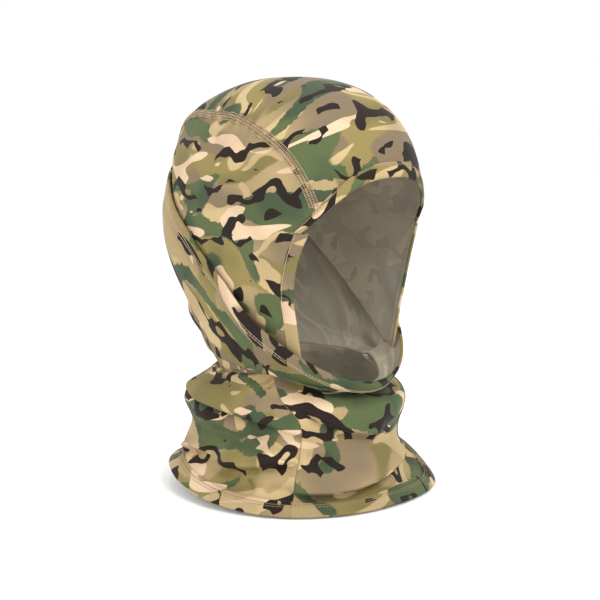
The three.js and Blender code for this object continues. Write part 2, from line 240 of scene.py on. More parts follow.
def snap_to_head(way):
    """The point of the head form in each direction from its centre."""
    way = unit(way)
    near, far = np.full(way.shape[:-1], 20.0), np.full(way.shape[:-1], 260.0)
    for _ in range(34):
        middle = (near + far) / 2
        inside = head_level(HEAD_CENTRE + way * middle[..., None]) < 1
        near, far = np.where(inside, middle, near), np.where(inside, far, middle)
    return HEAD_CENTRE + way * near[..., None]


def head_normal(p):
    step = 0.5
    slopes = [head_level(p + step * axis) - head_level(p - step * axis) for axis in np.eye(3)]
    return unit(np.stack(slopes, -1))


def over_head(over, side):
    """A point of the head form from its angle over the head and its angle to the side."""
    a, b = np.radians(over), np.radians(side)
    return snap_to_head(np.stack([np.sin(b) + 0 * a, -np.cos(b) * np.cos(a), np.cos(b) * np.sin(a)], -1))


def head_side(y, z):
    """The right side of the head form at a given y and z."""
    level = np.minimum(z, HEAD_LEVEL)
    dy = y - HEAD_CENTRE[1]
    length = np.where(dy < 0, read_table(HEAD_SECTIONS, level, 2), read_table(HEAD_SECTIONS, level, 3))
    rest = 1 - np.abs(dy / length) ** HEAD_EXPONENT
    rest = rest - (np.maximum(z - HEAD_LEVEL, 0) / HEAD_RISE) ** HEAD_EXPONENT
    x = -read_table(HEAD_SECTIONS, level, 1) * np.maximum(rest, 0) ** (1 / HEAD_EXPONENT)
    return np.stack([x, y + 0 * z, z + 0 * y], -1)


print("widest half width of the head form, mm:", HEAD_SECTIONS[:, 1].max())

# %% The crown's outline on the head
# angle over the head, half width in degrees to the side
CROWN_HALF_WIDTH = np.array([
    (0, 35.5), (28, 41), (60, 45), (90, 43), (111, 39), (136, 28), (170, 22), (215, 19),
], float)
CROWN_END = 188.0
BROW_ANGLE, BROW_DROP, TEMPLE_ANGLE = 20.0, 27.0, 42.6
BINDING_ANGLE = 6.2
BINDING_END, BINDING_END_INNER = 45.0, 41.3
HEAD_RADIUS = 93.0


def crown_half_width(over):
    return read_table(CROWN_HALF_WIDTH, over, 1)


def brow_edge(side):
    return BROW_ANGLE - BROW_DROP * (np.abs(side) / TEMPLE_ANGLE) ** 2.6


BROW_SIDE = float(crown_half_width(np.array(4.0)))
seam_over = np.linspace(float(brow_edge(np.array(BROW_SIDE))), CROWN_END, 260)
SEAM_LINE = over_head(seam_over, -crown_half_width(seam_over))
print("crown seam, mm:", round(float(np.linalg.norm(np.diff(SEAM_LINE, axis=0), axis=1).sum())))

# %% [markdown]
# ## How the knit lies over the head
# A stretched knit isn't a perfect dome. The flatlock seam makes a low ridge, the thread pulls small
# puckers into the side panel, the seam's corner at the back stands off, and slack cloth near the
# mask makes a few soft dents. These are heights in millimetres that are added to the form.

# %% Relief of the hood
CLOTH = 0.8
SEAM_RIDGE, SEAM_REACH = 0.9, 3.4
PUCKER_SPACING, PUCKER_DEPTH, PUCKER_REACH = 10.5, 0.55, 11.0
CORNER = np.array([-47.0, 71.0, -25.0])
CORNER_HEIGHT, CORNER_REACH = 4.0, 24.0
# soft wrinkles of the side panel: start, end, height, reach, all in mm, on the right side
SOFT_WRINKLES = [
    ((-64, 18, -34), (-70, -8, -47), 1.6, 5.0),
    ((-66, -12, -42), (-72, -26, -64), -1.5, 5.0),
    ((-64, -30, -46), (-70, -44, -66), 1.4, 5.5),
    ((-60, 40, -34), (-72, 30, -58), 1.3, 7.0),
    ((-72, -20, -84), (-70, -44, -104), 1.0, 8.0),
    ((-74, 36, -78), (-76, 6, -100), -1.2, 8.0),
    ((-70, -2, -120), (-62, -44, -142), 1.3, 7.0),
    ((-66, -24, -142), (-56, -50, -166), -1.2, 6.0),
    ((-46, 84, -52), (-66, 56, -70), 1.6, 8.0),
]
SEAM_AT = np.concatenate([[0], np.cumsum(np.linalg.norm(np.diff(SEAM_LINE, axis=0), axis=1))])


def near_line(points, line):
    """Distance to a line of points, and the index of its nearest point."""
    flat = points.reshape(-1, 3)
    best, at = np.full(len(flat), 1e9), np.zeros(len(flat), int)
    for i, spot in enumerate(line):
        distance = ((flat - spot) ** 2).sum(-1)
        closer = distance < best
        best[closer], at[closer] = distance[closer], i
    return np.sqrt(best).reshape(points.shape[:-1]), at.reshape(points.shape[:-1])


def relief(points):
    """Height of the cloth over the head form, in mm."""
    right = points * np.where(points[..., :1] > 0, -1.0, 1.0) * [1, 0, 0] + points * [0, 1, 1]
    distance, at = near_line(right, SEAM_LINE)
    along = SEAM_AT[at]
    height = SEAM_RIDGE * np.exp(-(distance / SEAM_REACH) ** 2)
    wave = np.sin(2 * np.pi * along / PUCKER_SPACING + 1.7 * np.sin(along / 13.0))
    bend = 0.55 + 1.5 * np.exp(-((along - 118.0) / 34.0) ** 2)
    height += PUCKER_DEPTH * bend * wave * np.exp(-distance / PUCKER_REACH) * smooth(distance / 3.0)
    corner = np.linalg.norm(right - CORNER, axis=-1)
    height += CORNER_HEIGHT * np.exp(-(corner / CORNER_REACH) ** 2)
    for start, end, rise, reach in SOFT_WRINKLES:
        start, way = np.array(start, float), np.array(end, float) - np.array(start, float)
        share = np.clip(((right - start) @ way) / (way @ way), 0, 1)
        distance = np.linalg.norm(right - start - share[..., None] * way, axis=-1)
        height += rise * np.exp(-(distance / reach) ** 2) * np.sin(np.pi * mix(0.15, 0.85, share))
    return height


def on_head(points, extra=0.0):
    """Lifts points of the head form to the outer face of the cloth."""
    height = CLOTH + relief(points) + extra
    return points + head_normal(points) * np.asarray(height)[..., None]


print("seam length used for puckers, mm:", round(float(SEAM_AT[-1])))

# %% [markdown]
# ## Cloth as a grid
# A knit panel is a grid of points with a flat pattern position for each point, in metres of cloth, so
# that the print and the ribs keep their real size. The grid gets its thickness at the end, with the
# paler reverse of the print on the inside.


# %% Grid helpers
def grid_mesh(name, points, pattern, closed=False):
    """A mesh from a grid of points [row, column] in mm, with the pattern position as its UV map.
    On a closed grid the pattern has one column more than the points."""
    rows, columns = points.shape[:2]
    r, c = np.meshgrid(np.arange(rows - 1), np.arange(columns if closed else columns - 1), indexing="ij")
    r, c = r.ravel(), c.ravel()
    faces = np.stack([r * columns + c, r * columns + (c + 1) % columns,
                      (r + 1) * columns + (c + 1) % columns, (r + 1) * columns + c], -1)
    wide = pattern.shape[1]
    corners = np.stack([r * wide + c, r * wide + c + 1, (r + 1) * wide + c + 1, (r + 1) * wide + c], -1)
    mesh = bpy.data.meshes.new(name)
    mesh.from_pydata((points.reshape(-1, 3) * MM).tolist(), [], faces.tolist())
    uv = mesh.uv_layers.new(name="cloth")
    uv.data.foreach_set("uv", (pattern.reshape(-1, 2)[corners.ravel()] * MM).astype(np.float32).ravel())
    mesh.polygons.foreach_set("use_smooth", [True] * len(faces))
    made = bpy.data.objects.new(name, mesh)
    bpy.context.scene.collection.objects.link(made)
    return made


def face_out(piece, height=-100.0):
    """Turns the faces so that most of them look away from the middle line of the hood."""
    mesh = piece.data
    outward = 0.0
    for polygon in mesh.polygons:
        middle = Vector((0, 0, min(polygon.center.z, height * MM)))
        outward += polygon.normal.dot(polygon.center - middle) * polygon.area
    if outward < 0:
        mesh.flip_normals()


def applied(piece):
    """Replaces a piece's mesh by the result of its modifiers."""
    bpy.context.view_layer.update()
    evaluated = piece.evaluated_get(bpy.context.evaluated_depsgraph_get())
    mesh = bpy.data.meshes.new_from_object(evaluated)
    old = piece.data
    piece.modifiers.clear()
    piece.data = mesh
    bpy.data.meshes.remove(old)
    return piece


def thicken(piece, thickness, offset=-1.0):
    """Gives a sheet its thickness. The inner side takes the piece's second material."""
    solid = piece.modifiers.new("thickness", "SOLIDIFY")
    solid.thickness = thickness * MM
    solid.offset = offset
    solid.use_even_offset = False
    solid.material_offset = 1
    return applied(piece)


def rides(piece):
    """The piece stays with the head and the neck."""
    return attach(piece, "root")


def finish_cloth(piece, outside, inside, thickness, joined, replaces, offset=-1.0):
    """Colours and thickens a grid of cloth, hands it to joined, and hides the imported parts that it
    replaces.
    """
    face_out(piece)
    piece.data.materials.append(outside)
    piece.data.materials.append(inside)
    thicken(piece, thickness, offset)
    joined(piece)
    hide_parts(*replaces)


def arc_lengths(points, axis=0):
    """Distance along each row (axis 1) or column (axis 0) of a grid of points."""
    total = np.cumsum(np.linalg.norm(np.diff(points, axis=axis), axis=-1), axis=axis)
    shape = list(total.shape)
    shape[axis] = 1
    return np.concatenate([np.zeros(shape), total], axis=axis)


def crowned(share):
    """The raised middle of a folded strip: 0 at both edges, 1 between them."""
    return np.sqrt(np.sin(np.pi * share))


STRETCH = 1.08


def cut_size(points, pattern):
    """The flat size of a panel: its pattern's width and length, and its area, less the stretch when worn."""
    across, along = points[:, 1:] - points[:, :-1], points[1:] - points[:-1]
    area = np.linalg.norm(np.cross(across[:-1], along[:, :-1]), axis=-1).sum() / STRETCH**2
    width, length = (np.ptp(pattern[..., k]) / STRETCH for k in (0, 1))
    print("flat size, mm:", round(width), "x", round(length), "area, cm2:", round(area / 100))
    return (width * MM, length * MM), min(area, width * length) * MM * MM


# %% [markdown]
# ## The printed knit
# The cloth is a thin polyester knit, rotary printed on its face, with a soft satin look. The print
# has a ground that fades between khaki and grey brown, green patches with a ragged edge, dark brown
# twigs and pale blobs. Each layer is a noise that is cut at a level, so the print is nobody's own
# pattern. The knit shows as fine ribs. They are 0.9 mm apart on such a cloth, and drawn 1.5 mm apart.

# %% The printed knit material
RIB_SPACING = 1.5
WAVE_TURNS = 20.0
MIX_FACTOR, MIX_UNDER, MIX_OVER, MIX_COLOUR = 0, 6, 7, 2
GROUND, GROUND_GREY = "#a48f66", "#7d6c54"
GROUND_SIZE, GROUND_LEVEL, TONE_SIZE, FADE = 80.0, 0.52, 46.0, 0.12
# name, shift, size in mm, stretch, detail, distortion, level, softness, colour, colour in its shaded parts
PATCHES = [
    ("olive", (4.1, 2.2), 58, (0.75, 1.4), 1.0, 0.4, 0.560, 0.022, "#8d7d4b", "#776c41"),
    ("sand", (1.9, 6.4), 42, (0.75, 1.4), 1.2, 0.7, 0.590, 0.010, "#bfa87a", "#ae976f"),
    ("green", (0.3, 7.7), 52, (0.62, 1.2), 1.4, 0.9, 0.562, 0.008, "#55603c", "#3f4c35"),
    ("pale", (6.6, 5.2), 30, (0.62, 1.35), 1.0, 0.8, 0.648, 0.010, "#d6bc9b", "#c8ab8b"),
]
TWIG = "#21160f"
TWIG_SPACING, TWIG_WANDER, TWIG_BEND, TWIG_EDGE = 34.0, 5.6, 19.0, 0.78
TWIG_GATE_SIZE, TWIG_GATE, TWIG_BLUNTNESS, TWIG_ROUNDING = 34.0, 0.505, 3.6, 0.08
RAGGED = (0.0010, 0.0034, 0.0)
TOOTH_SCALE, YARN_SCALE, YARN_SHARE = 260.0, 900.0, 0.7
REVERSE_GROUND, REVERSE_FADE = "#cbc3b2", 0.72


def band_scale(spacing):
    """The scale that makes a wave texture's bands lie that many mm apart."""
    return 2 * math.pi / WAVE_TURNS / (spacing * MM)


def printed_knit(name, shift, reverse=False):
    """Printed polyester knit. shift moves the print on the cloth, reverse is its paler wrong side."""
    material, tree, shader = new_material(name)
    cloth = node(tree, "ShaderNodeUVMap", uv_map="cloth").outputs["UV"]
    design = node(tree, "ShaderNodeMapping",
                  {"Vector": cloth, "Location": (*shift, 0)}).outputs["Vector"]
    teeth = node(tree, "ShaderNodeTexNoise", {"Vector": cloth, "Scale": TOOTH_SCALE, "Detail": 1.0},
                 noise_dimensions="2D").outputs["Color"]
    ragged = node(tree, "ShaderNodeVectorMath", {0: teeth, 1: RAGGED, 2: design},
                  operation="MULTIPLY_ADD").outputs["Vector"]

    def cloud(source, place, size, stretch, detail=1.0, distortion=0.0):
        """A noise with patches of that size in mm."""
        at = node(tree, "ShaderNodeMapping",
                  {"Vector": source, "Location": (*place, 0), "Scale": (*stretch, 1)})
        return node(tree, "ShaderNodeTexNoise",
                    {"Vector": at.outputs["Vector"], "Scale": 1 / (size * MM), "Detail": detail,
                     "Distortion": distortion}, noise_dimensions="2D").outputs["Fac"]

    def print_layer(value, level, softness, under, over):
        """Lays the colour over on the cloth where the value is above the level."""
        mask = node(tree, "ShaderNodeMapRange",
                    {"Value": value, "From Min": level - softness, "From Max": level + softness},
                    interpolation_type="SMOOTHSTEP").outputs["Result"]
        return node(tree, "ShaderNodeMix", {MIX_FACTOR: mask, MIX_UNDER: under, MIX_OVER: over},
                    data_type="RGBA").outputs[MIX_COLOUR]

    ground = cloud(design, (1.7, 0.4), GROUND_SIZE, (0.7, 1.5))
    colour = print_layer(ground, GROUND_LEVEL, FADE, linear(GROUND), linear(GROUND_GREY))
    tone = cloud(design, (9.1, 3.3), TONE_SIZE, (1, 1))
    for layer, place, size, stretch, detail, distortion, level, softness, light, dark in PATCHES:
        source = ragged if layer in ("green", "olive") else design
        ink = print_layer(tone, 0.5, FADE, linear(light), linear(dark))
        patch = cloud(source, place, size, stretch, detail, distortion)
        colour = print_layer(patch, level, softness, colour, ink)
    # dark twigs: wandering bands, cut to short lengths with round ends by a second noise
    bands = node(tree, "ShaderNodeTexWave",
                 {"Vector": design, "Scale": band_scale(TWIG_SPACING), "Distortion": TWIG_WANDER,
                  "Detail": 0.6, "Detail Scale": WAVE_TURNS / (2 * math.pi) * TWIG_SPACING / TWIG_BEND},
                 wave_type="BANDS", bands_direction="Y").outputs["Fac"]
    gate = cloud(design, (2.9, 8.3), TWIG_GATE_SIZE, (0.7, 1.3), 1.0, 0.5)
    inside = node(tree, "ShaderNodeMath", {0: bands, 1: TWIG_EDGE}, operation="SUBTRACT").outputs["Value"]
    opened = node(tree, "ShaderNodeMath", {0: gate, 1: TWIG_GATE}, operation="SUBTRACT").outputs["Value"]
    opened = node(tree, "ShaderNodeMath", {0: opened, 1: TWIG_BLUNTNESS},
                  operation="MULTIPLY").outputs["Value"]
    twig = node(tree, "ShaderNodeMath", {0: inside, 1: opened, 2: TWIG_ROUNDING},
                operation="SMOOTH_MIN").outputs["Value"]
    colour = print_layer(twig, 0.0, 0.006, colour, linear(TWIG))
    if reverse:
        colour = node(tree, "ShaderNodeMix",
                      {MIX_FACTOR: REVERSE_FADE, MIX_UNDER: colour, MIX_OVER: linear(REVERSE_GROUND)},
                      data_type="RGBA").outputs[MIX_COLOUR]

    # ribs of the knit, and the slight unevenness of the yarn; their height also darkens the colour, as
    # painted shade in the grooves between ribs and as the yarn's real unevenness
    ribs = node(tree, "ShaderNodeTexWave",
                {"Vector": cloth, "Scale": band_scale(RIB_SPACING), "Distortion": 1.0,
                 "Detail": 1.0, "Detail Scale": 2.0}, wave_type="BANDS", bands_direction="X").outputs["Fac"]
    yarn = node(tree, "ShaderNodeTexNoise", {"Vector": cloth, "Scale": YARN_SCALE, "Detail": 1.0},
                noise_dimensions="2D").outputs["Fac"]
    knit = node(tree, "ShaderNodeMath", {0: yarn, 1: YARN_SHARE, 2: ribs},
                operation="MULTIPLY_ADD").outputs["Value"]
    bump = node(tree, "ShaderNodeBump", {"Height": knit, "Strength": 0.3, "Distance": 0.0003})
    shade = node(tree, "ShaderNodeMapRange",
                 {"Value": knit, "From Max": 1 + YARN_SHARE, "To Min": 0.86, "To Max": 1.1})
    # worn is the print's colour with the painted shade of the rib grooves and the yarn's unevenness in it
    worn = node(tree, "ShaderNodeHueSaturation", {"Color": colour, "Value": shade.outputs["Result"]})
    tree.links.new(worn.outputs["Color"], shader.inputs["Base Color"])
    tree.links.new(bump.outputs["Normal"], shader.inputs["Normal"])
    shader.inputs["Roughness"].default_value = 0.7
    shader.inputs["Specular IOR Level"].default_value = 0.2
    shader.inputs["Sheen Weight"].default_value = 0.06
    shader.inputs["Sheen Roughness"].default_value = 0.4
    return material


def sewing_thread(name, code, lighter):
    """Textured polyester thread: soft, slightly glossy, a little lighter along its twist as a painted
    highlight.
    The twist is finer than a millimetre, and its painted highlight and shade show as a light and dark change
    along a stitch."""
    material, tree, shader = new_material(name)
    coordinate = node(tree, "ShaderNodeTexCoord").outputs["Object"]
    # a noise paints the twist's highlight and shade into the thread's colour
    twist_highlight_and_shade = node(tree, "ShaderNodeTexNoise", {"Vector": coordinate, "Scale": YARN_SCALE, "Detail": 1.0})
    mixed = node(tree, "ShaderNodeMix", {MIX_FACTOR: twist_highlight_and_shade.outputs["Fac"], MIX_UNDER: linear(code),
                                         MIX_OVER: linear(lighter)}, data_type="RGBA")
    tree.links.new(mixed.outputs[MIX_COLOUR], shader.inputs["Base Color"])
    shader.inputs["Roughness"].default_value = 0.55
    shader.inputs["Sheen Weight"].default_value = 0.2
    return material


PALE_THREAD = sewing_thread("polyester_thread_sand", "#a88f69", "#d3bd95")
DARK_THREAD = sewing_thread("polyester_thread_brown", "#6d553f", "#a98c68")
REVERSE = printed_knit("printed_polyester_knit_reverse", (0.11, 0.42), reverse=True)
print("print layers:", [patch[0] for patch in PATCHES])

# %% [markdown]
# ## Stitches
# A stitch is a short arc of thread that dips into the cloth at both ends. Thousands of them follow
# the seams, all alike, so this is work for Geometry Nodes: one stitch is swept once, and copied at
# even steps along a guide line. Each guide point stores which way is out of the cloth, so that every
# stitch lies flat on its panel. The result is turned into a plain mesh.


# %% The stitch tree
# where a stitch's ends dip into the cloth and how high its control point lies, in thread radii
STITCH_DIP, STITCH_CREST = -0.9, 1.9


def stitch_tree():
    """Geometry Nodes that set a row of stitches along guide lines."""
    tree = bpy.data.node_groups.new("row_of_stitches", "GeometryNodeTree")
    made = {}
    for name, kind in (("Guides", "Geometry"), ("Spacing", "Float"), ("Stitch Length", "Float"),
                       ("Thread Radius", "Float"), ("Turn", "Float"), ("Thread", "Material")):
        made[name] = tree.interface.new_socket(name, in_out="INPUT", socket_type="NodeSocket" + kind)
    tree.interface.new_socket("Stitches", in_out="OUTPUT", socket_type="NodeSocketGeometry")
    given = node(tree, "NodeGroupInput").outputs
    length, radius = given["Stitch Length"], given["Thread Radius"]
    half = node(tree, "ShaderNodeMath", {0: length, 1: 0.5}, operation="MULTIPLY").outputs[0]
    minus = node(tree, "ShaderNodeMath", {0: half, 1: -1.0}, operation="MULTIPLY").outputs[0]
    dip = node(tree, "ShaderNodeMath", {0: radius, 1: STITCH_DIP}, operation="MULTIPLY").outputs[0]
    crest = node(tree, "ShaderNodeMath", {0: radius, 1: STITCH_CREST}, operation="MULTIPLY").outputs[0]
    start = node(tree, "ShaderNodeCombineXYZ", {"X": minus, "Z": dip}).outputs[0]
    middle = node(tree, "ShaderNodeCombineXYZ", {"Z": crest}).outputs[0]
    end = node(tree, "ShaderNodeCombineXYZ", {"X": half, "Z": dip}).outputs[0]
    arc = node(tree, "GeometryNodeCurveQuadraticBezier",
               {"Resolution": 4, "Start": start, "Middle": middle, "End": end}).outputs[0]
    section = node(tree, "GeometryNodeCurvePrimitiveCircle",
                   {"Resolution": 6, "Radius": radius}, mode="RADIUS").outputs["Curve"]
    stitch = node(tree, "GeometryNodeCurveToMesh",
                  {"Curve": arc, "Profile Curve": section, "Fill Caps": True}).outputs["Mesh"]
    line = node(tree, "GeometryNodeMeshToCurve", {"Mesh": given["Guides"]}).outputs["Curve"]
    steps = node(tree, "GeometryNodeResampleCurve", {"Curve": line, "Length": given["Spacing"]},
                 mode="LENGTH")
    out_way = node(tree, "GeometryNodeInputNamedAttribute", {"Name": "out"}, data_type="FLOAT_VECTOR")
    tangent = node(tree, "GeometryNodeInputTangent").outputs[0]
    upright = node(tree, "FunctionNodeAlignRotationToVector", {"Vector": out_way.outputs[0]}, axis="Z")
    ahead = node(tree, "FunctionNodeAlignRotationToVector",
                 {"Rotation": upright.outputs[0], "Vector": tangent}, axis="X", pivot_axis="Z")
    quarter = node(tree, "ShaderNodeCombineXYZ", {"Z": given["Turn"]}).outputs[0]
    by = node(tree, "FunctionNodeEulerToRotation", {0: quarter}).outputs[0]
    turned = node(tree, "FunctionNodeRotateRotation", {0: ahead.outputs[0], 1: by}, rotation_space="LOCAL")
    uneven = node(tree, "FunctionNodeRandomValue", {"Min": 0.9, "Max": 1.08, "Seed": 5}, data_type="FLOAT")
    size = [s for s in uneven.outputs if s.enabled][0]
    placed = node(tree, "GeometryNodeInstanceOnPoints", {"Points": steps.outputs[0], "Instance": stitch,
                                                         "Rotation": turned.outputs[0], "Scale": size})
    real = node(tree, "GeometryNodeRealizeInstances", {"Geometry": placed.outputs[0]}).outputs[0]
    dressed = node(tree, "GeometryNodeSetMaterial",
                   {"Geometry": real, "Material": given["Thread"]}).outputs[0]
    node(tree, "NodeGroupOutput", {0: dressed})
    return tree, {name: socket.identifier for name, socket in made.items()}


STITCH_TREE, STITCH_INPUT = stitch_tree()


def guide_mesh(lines):
    """Guide lines as edges. Each line is (points, ways out of the cloth), in mm."""
    points, ways, edges = [], [], []
    for line, way in lines:
        first = len(points)
        points += (np.asarray(line) * MM).tolist()
        ways += np.asarray(way).tolist()
        edges += [(i, i + 1) for i in range(first, len(points) - 1)]
    mesh = bpy.data.meshes.new("guide")
    mesh.from_pydata(points, edges, [])
    out = mesh.attributes.new("out", "FLOAT_VECTOR", "POINT")
    out.data.foreach_set("vector", np.ravel(ways).astype(np.float32))
    return mesh


def sew(name, rows, replaces, bends_with_mask=False):
    """One piece of stitching. A row is (lines, spacing, stitch length, thread radius, turn, thread)."""
    whole = bmesh.new()
    threads = []
    for lines, spacing, length, radius, turn, thread in rows:
        guide = bpy.data.objects.new("guide", guide_mesh(lines))
        bpy.context.scene.collection.objects.link(guide)
        maker = guide.modifiers.new("stitches", "NODES")
        maker.node_group = STITCH_TREE
        for label, value in (("Spacing", spacing * MM), ("Stitch Length", length * MM),
                             ("Thread Radius", radius * MM), ("Turn", turn), ("Thread", thread)):
            maker[STITCH_INPUT[label]] = value
        bpy.context.view_layer.update()
        mesh = bpy.data.meshes.new_from_object(guide.evaluated_get(bpy.context.evaluated_depsgraph_get()))
        if thread not in threads:
            threads.append(thread)
        mesh.polygons.foreach_set("material_index", [threads.index(thread)] * len(mesh.polygons))
        mesh.polygons.foreach_set("use_smooth", [True] * len(mesh.polygons))
        whole.from_mesh(mesh)
        bpy.data.objects.remove(guide)
    bmesh.ops.recalc_face_normals(whole, faces=whole.faces)
    final = bpy.data.meshes.new(name + "_thread")
    whole.to_mesh(final)
    whole.free()
    for thread in threads:
        final.materials.append(thread)
    piece = bpy.data.objects.new(name + "_thread", final)
    bpy.context.scene.collection.objects.link(piece)
    if bends_with_mask:
        bends(piece)
    else:
        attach(piece, "root")
    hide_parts(*replaces)
    print(name, len(final.polygons), "faces")
    return piece


# spacing, stitch length and thread radius in mm, and the turn of each stitch on its line
LADDER_ROW = (1.5, 6.4, 0.3, math.pi / 2)
NEEDLE_ROW = (2.5, 2.2, 0.2, 0.0)
SIDE_SEAM_ROW = (2.5, 2.2, 0.18, 0.0)

# %% [markdown]
# ## Crown panel
# The middle strip of the hood runs from the brow over the crown to the nape. It is stretched over the
# head, so it is almost free of folds. It is made as a grid over the head form, and its front edge runs
# in under the brow binding.

# %% Crown panel
CROWN_ROWS, CROWN_COLUMNS = 190, 130
UNDERLAP_ANGLE = 1.0
u, v = np.meshgrid(np.linspace(0, 1, CROWN_ROWS), np.linspace(-1, 1, CROWN_COLUMNS), indexing="ij")
over = mix(brow_edge(v * BROW_SIDE) - UNDERLAP_ANGLE, CROWN_END, u)
side = v * crown_half_width(over)
points = on_head(over_head(over, side))
pattern = np.stack([np.radians(side) * HEAD_RADIUS, np.radians(over) * HEAD_RADIUS], -1)
crown = grid_mesh("crown_knit", points, pattern)
CROWN_KNIT = printed_knit("printed_polyester_knit_crown", (0.37, 0.12))
finish_cloth(crown, CROWN_KNIT, REVERSE, CLOTH, rides, ("crown_panel",))
crown_cut = cut_size(points, pattern)
print("crown panel:", len(crown.data.polygons), "faces")

# %% [markdown]
# ## Side panels
# Each side panel covers the temple, the ear and the cheek. Its border follows the crown seam, the
# nape, a hidden edge inside the gaiter, and the cheek hem. The grid runs from the ear to that border.

# %% Outline of a side panel
CHEEK_EDGE = np.array([
    (-205, -54), (-172, -55), (-150, -56), (-131, -59.5), (-118, -63.5), (-108, -67.5), (-104, -69),
], float)
CHEEK_TOP, CHEEK_BOTTOM = -105.0, -198.0
CHEEK_HEM, UNDERLAP = 8.5, 1.4
EAR = np.array([-75.0, 5.0, -100.0])
SIDE_BOTTOM = [(56.0, -121.0), (4.0, -165.0), (-38.0, -196.0)]
SIDE_RINGS, SIDE_SPOKES = 70, 360


def cheek_edge(z):
    return read_table(CHEEK_EDGE, z, 1)


def spline(knots, count):
    """Points along a smooth curve through the knots."""
    knots = np.asarray(knots, float)
    padded = np.vstack([2 * knots[0] - knots[1], knots, 2 * knots[-1] - knots[-2]])
    t = np.linspace(0, len(knots) - 1 - 1e-9, count)
    i = t.astype(int)
    f = (t - i)[:, None]
    a, b, c, d = padded[i], padded[i + 1], padded[i + 2], padded[i + 3]
    return 0.5 * (2 * b + (c - a) * f + (2 * a - 5 * b + 4 * c - d) * f**2 + (3 * b - a - 3 * c + d) * f**3)


def side_border(count):
    bottom_knots = [SEAM_LINE[-1], *(head_side(np.array(y), np.array(z)) for y, z in SIDE_BOTTOM)]
    z = np.linspace(CHEEK_BOTTOM + 2, CHEEK_TOP - 1, 60)
    cheek = head_side(cheek_edge(z) + CHEEK_HEM - UNDERLAP, z)
    brow_side = np.linspace(BINDING_END - 1, BROW_SIDE, 16)
    brow = over_head(brow_edge(brow_side) - UNDERLAP_ANGLE, -brow_side)
    line = np.vstack([SEAM_LINE, spline(bottom_knots, 60)[1:], cheek, brow])
    length = arc_lengths(line[:, None])[:, 0]
    even = np.linspace(0, length[-1], count, endpoint=False)
    return np.stack([np.interp(even, length, line[:, k]) for k in range(3)], -1)


# %% Side panels
sides, side_cut = {}, {}
border_way = unit(side_border(SIDE_SPOKES) - HEAD_CENTRE)
ear_way = unit(EAR - HEAD_CENTRE)
share = np.linspace(0.004, 1, SIDE_RINGS)[:, None, None]
directions = ear_way * (1 - share) + border_way * share
side_points = on_head(snap_to_head(directions))
# flat pattern: distance from the ear, and the bearing round it
directions = unit(directions)
reach = np.arccos(np.clip(directions @ ear_way, -1, 1)) * HEAD_RADIUS
east = unit(np.cross([0, 0, 1.0], ear_way))
bearing = np.arctan2(directions @ np.cross(ear_way, east), directions @ east)
side_pattern = np.stack([reach * np.cos(bearing), reach * np.sin(bearing)], -1)
for name, mirror, shift in (("side_panel_right", 1, (0.52, 0.23)), ("side_panel_left", -1, (1.37, 0.81))):
    points, pattern = side_points * [mirror, 1, 1], side_pattern * [mirror, 1]
    piece = grid_mesh(name + "_knit", points, np.concatenate([pattern, pattern[:, :1]], 1), closed=True)
    shell = bmesh.new()
    shell.from_mesh(piece.data)
    ear_hole = [e for e in shell.edges if e.is_boundary and e.verts[0].index < SIDE_SPOKES]
    bmesh.ops.holes_fill(shell, edges=ear_hole)
    shell.to_mesh(piece.data)
    shell.free()
    piece.data.polygons.foreach_set("use_smooth", [True] * len(piece.data.polygons))
    knit = printed_knit("printed_polyester_knit_" + name, shift)
    finish_cloth(piece, knit, REVERSE, CLOTH, rides, (name,))
    sides[name] = piece
    side_cut[name] = cut_size(points, pattern)
print("side panels:", [len(p.data.polygons) for p in sides.values()])

# %% [markdown]
# ## Brow binding and cheek hems
# The face opening is edged by a folded strip over the brow, and by turned hems down the cheeks. A
# folded strip is thicker than the panel and a little crowned, so both are grids with a raised middle.

# %% Brow binding
BINDING_THICKNESS, BINDING_CROWN, BINDING_BASE = 2.2, 0.8, 0.4
FOLD_IN = 0.9
u, v = np.meshgrid(np.linspace(-1, 1, 220), np.linspace(0, 1, 11), indexing="ij")
side = u * mix(BINDING_END, BINDING_END_INNER, v)
on_form = over_head(brow_edge(side) - v * BINDING_ANGLE, side)
points = on_head(on_form, BINDING_BASE + BINDING_CROWN * crowned(v) - FOLD_IN * smooth((v - 0.86) / 0.14))
pattern = np.stack([np.radians(side) * HEAD_RADIUS, v * 10], -1)
binding = grid_mesh("brow_binding_knit", points, pattern)
BINDING_KNIT = printed_knit("printed_polyester_knit_binding", (0.71, 0.05))
finish_cloth(binding, BINDING_KNIT, BINDING_KNIT, BINDING_THICKNESS, rides, ("brow_binding",))
print("brow binding:", len(binding.data.polygons), "faces")

# %% Cheek hems
CHEEK_HEM_THICKNESS = 1.7
HEM_KNIT = printed_knit("printed_polyester_knit_cheek_hem", (1.13, 0.95))
for name, mirror in (("cheek_hem_right", 1), ("cheek_hem_left", -1)):
    z, v = np.meshgrid(np.linspace(CHEEK_TOP, CHEEK_BOTTOM, 120), np.linspace(0, 1, 10), indexing="ij")
    on_form = head_side(cheek_edge(z) + v * CHEEK_HEM, z)
    points = on_head(on_form, 0.15 + 0.5 * crowned(v) - FOLD_IN * smooth((0.14 - v) / 0.14))
    hem = grid_mesh(name + "_knit", points * [mirror, 1, 1], np.stack([v * CHEEK_HEM * mirror, z], -1))
    finish_cloth(hem, HEM_KNIT, REVERSE, CHEEK_HEM_THICKNESS, rides, (name,))

# %% [markdown]
# ## Seams of the hood
# Crown and sides are joined by a flatlock seam: the edges lie side by side, a ladder of threads
# crosses them, and needle rows run along it. The binding and the hems are held by one needle row.


# %% Stitching of the hood
def head_line(on_form, lift, mirror=1):
    """A guide line on the hood, from points of the head form."""
    return (on_head(on_form, lift) * [mirror, 1, 1], head_normal(on_form) * [mirror, 1, 1])


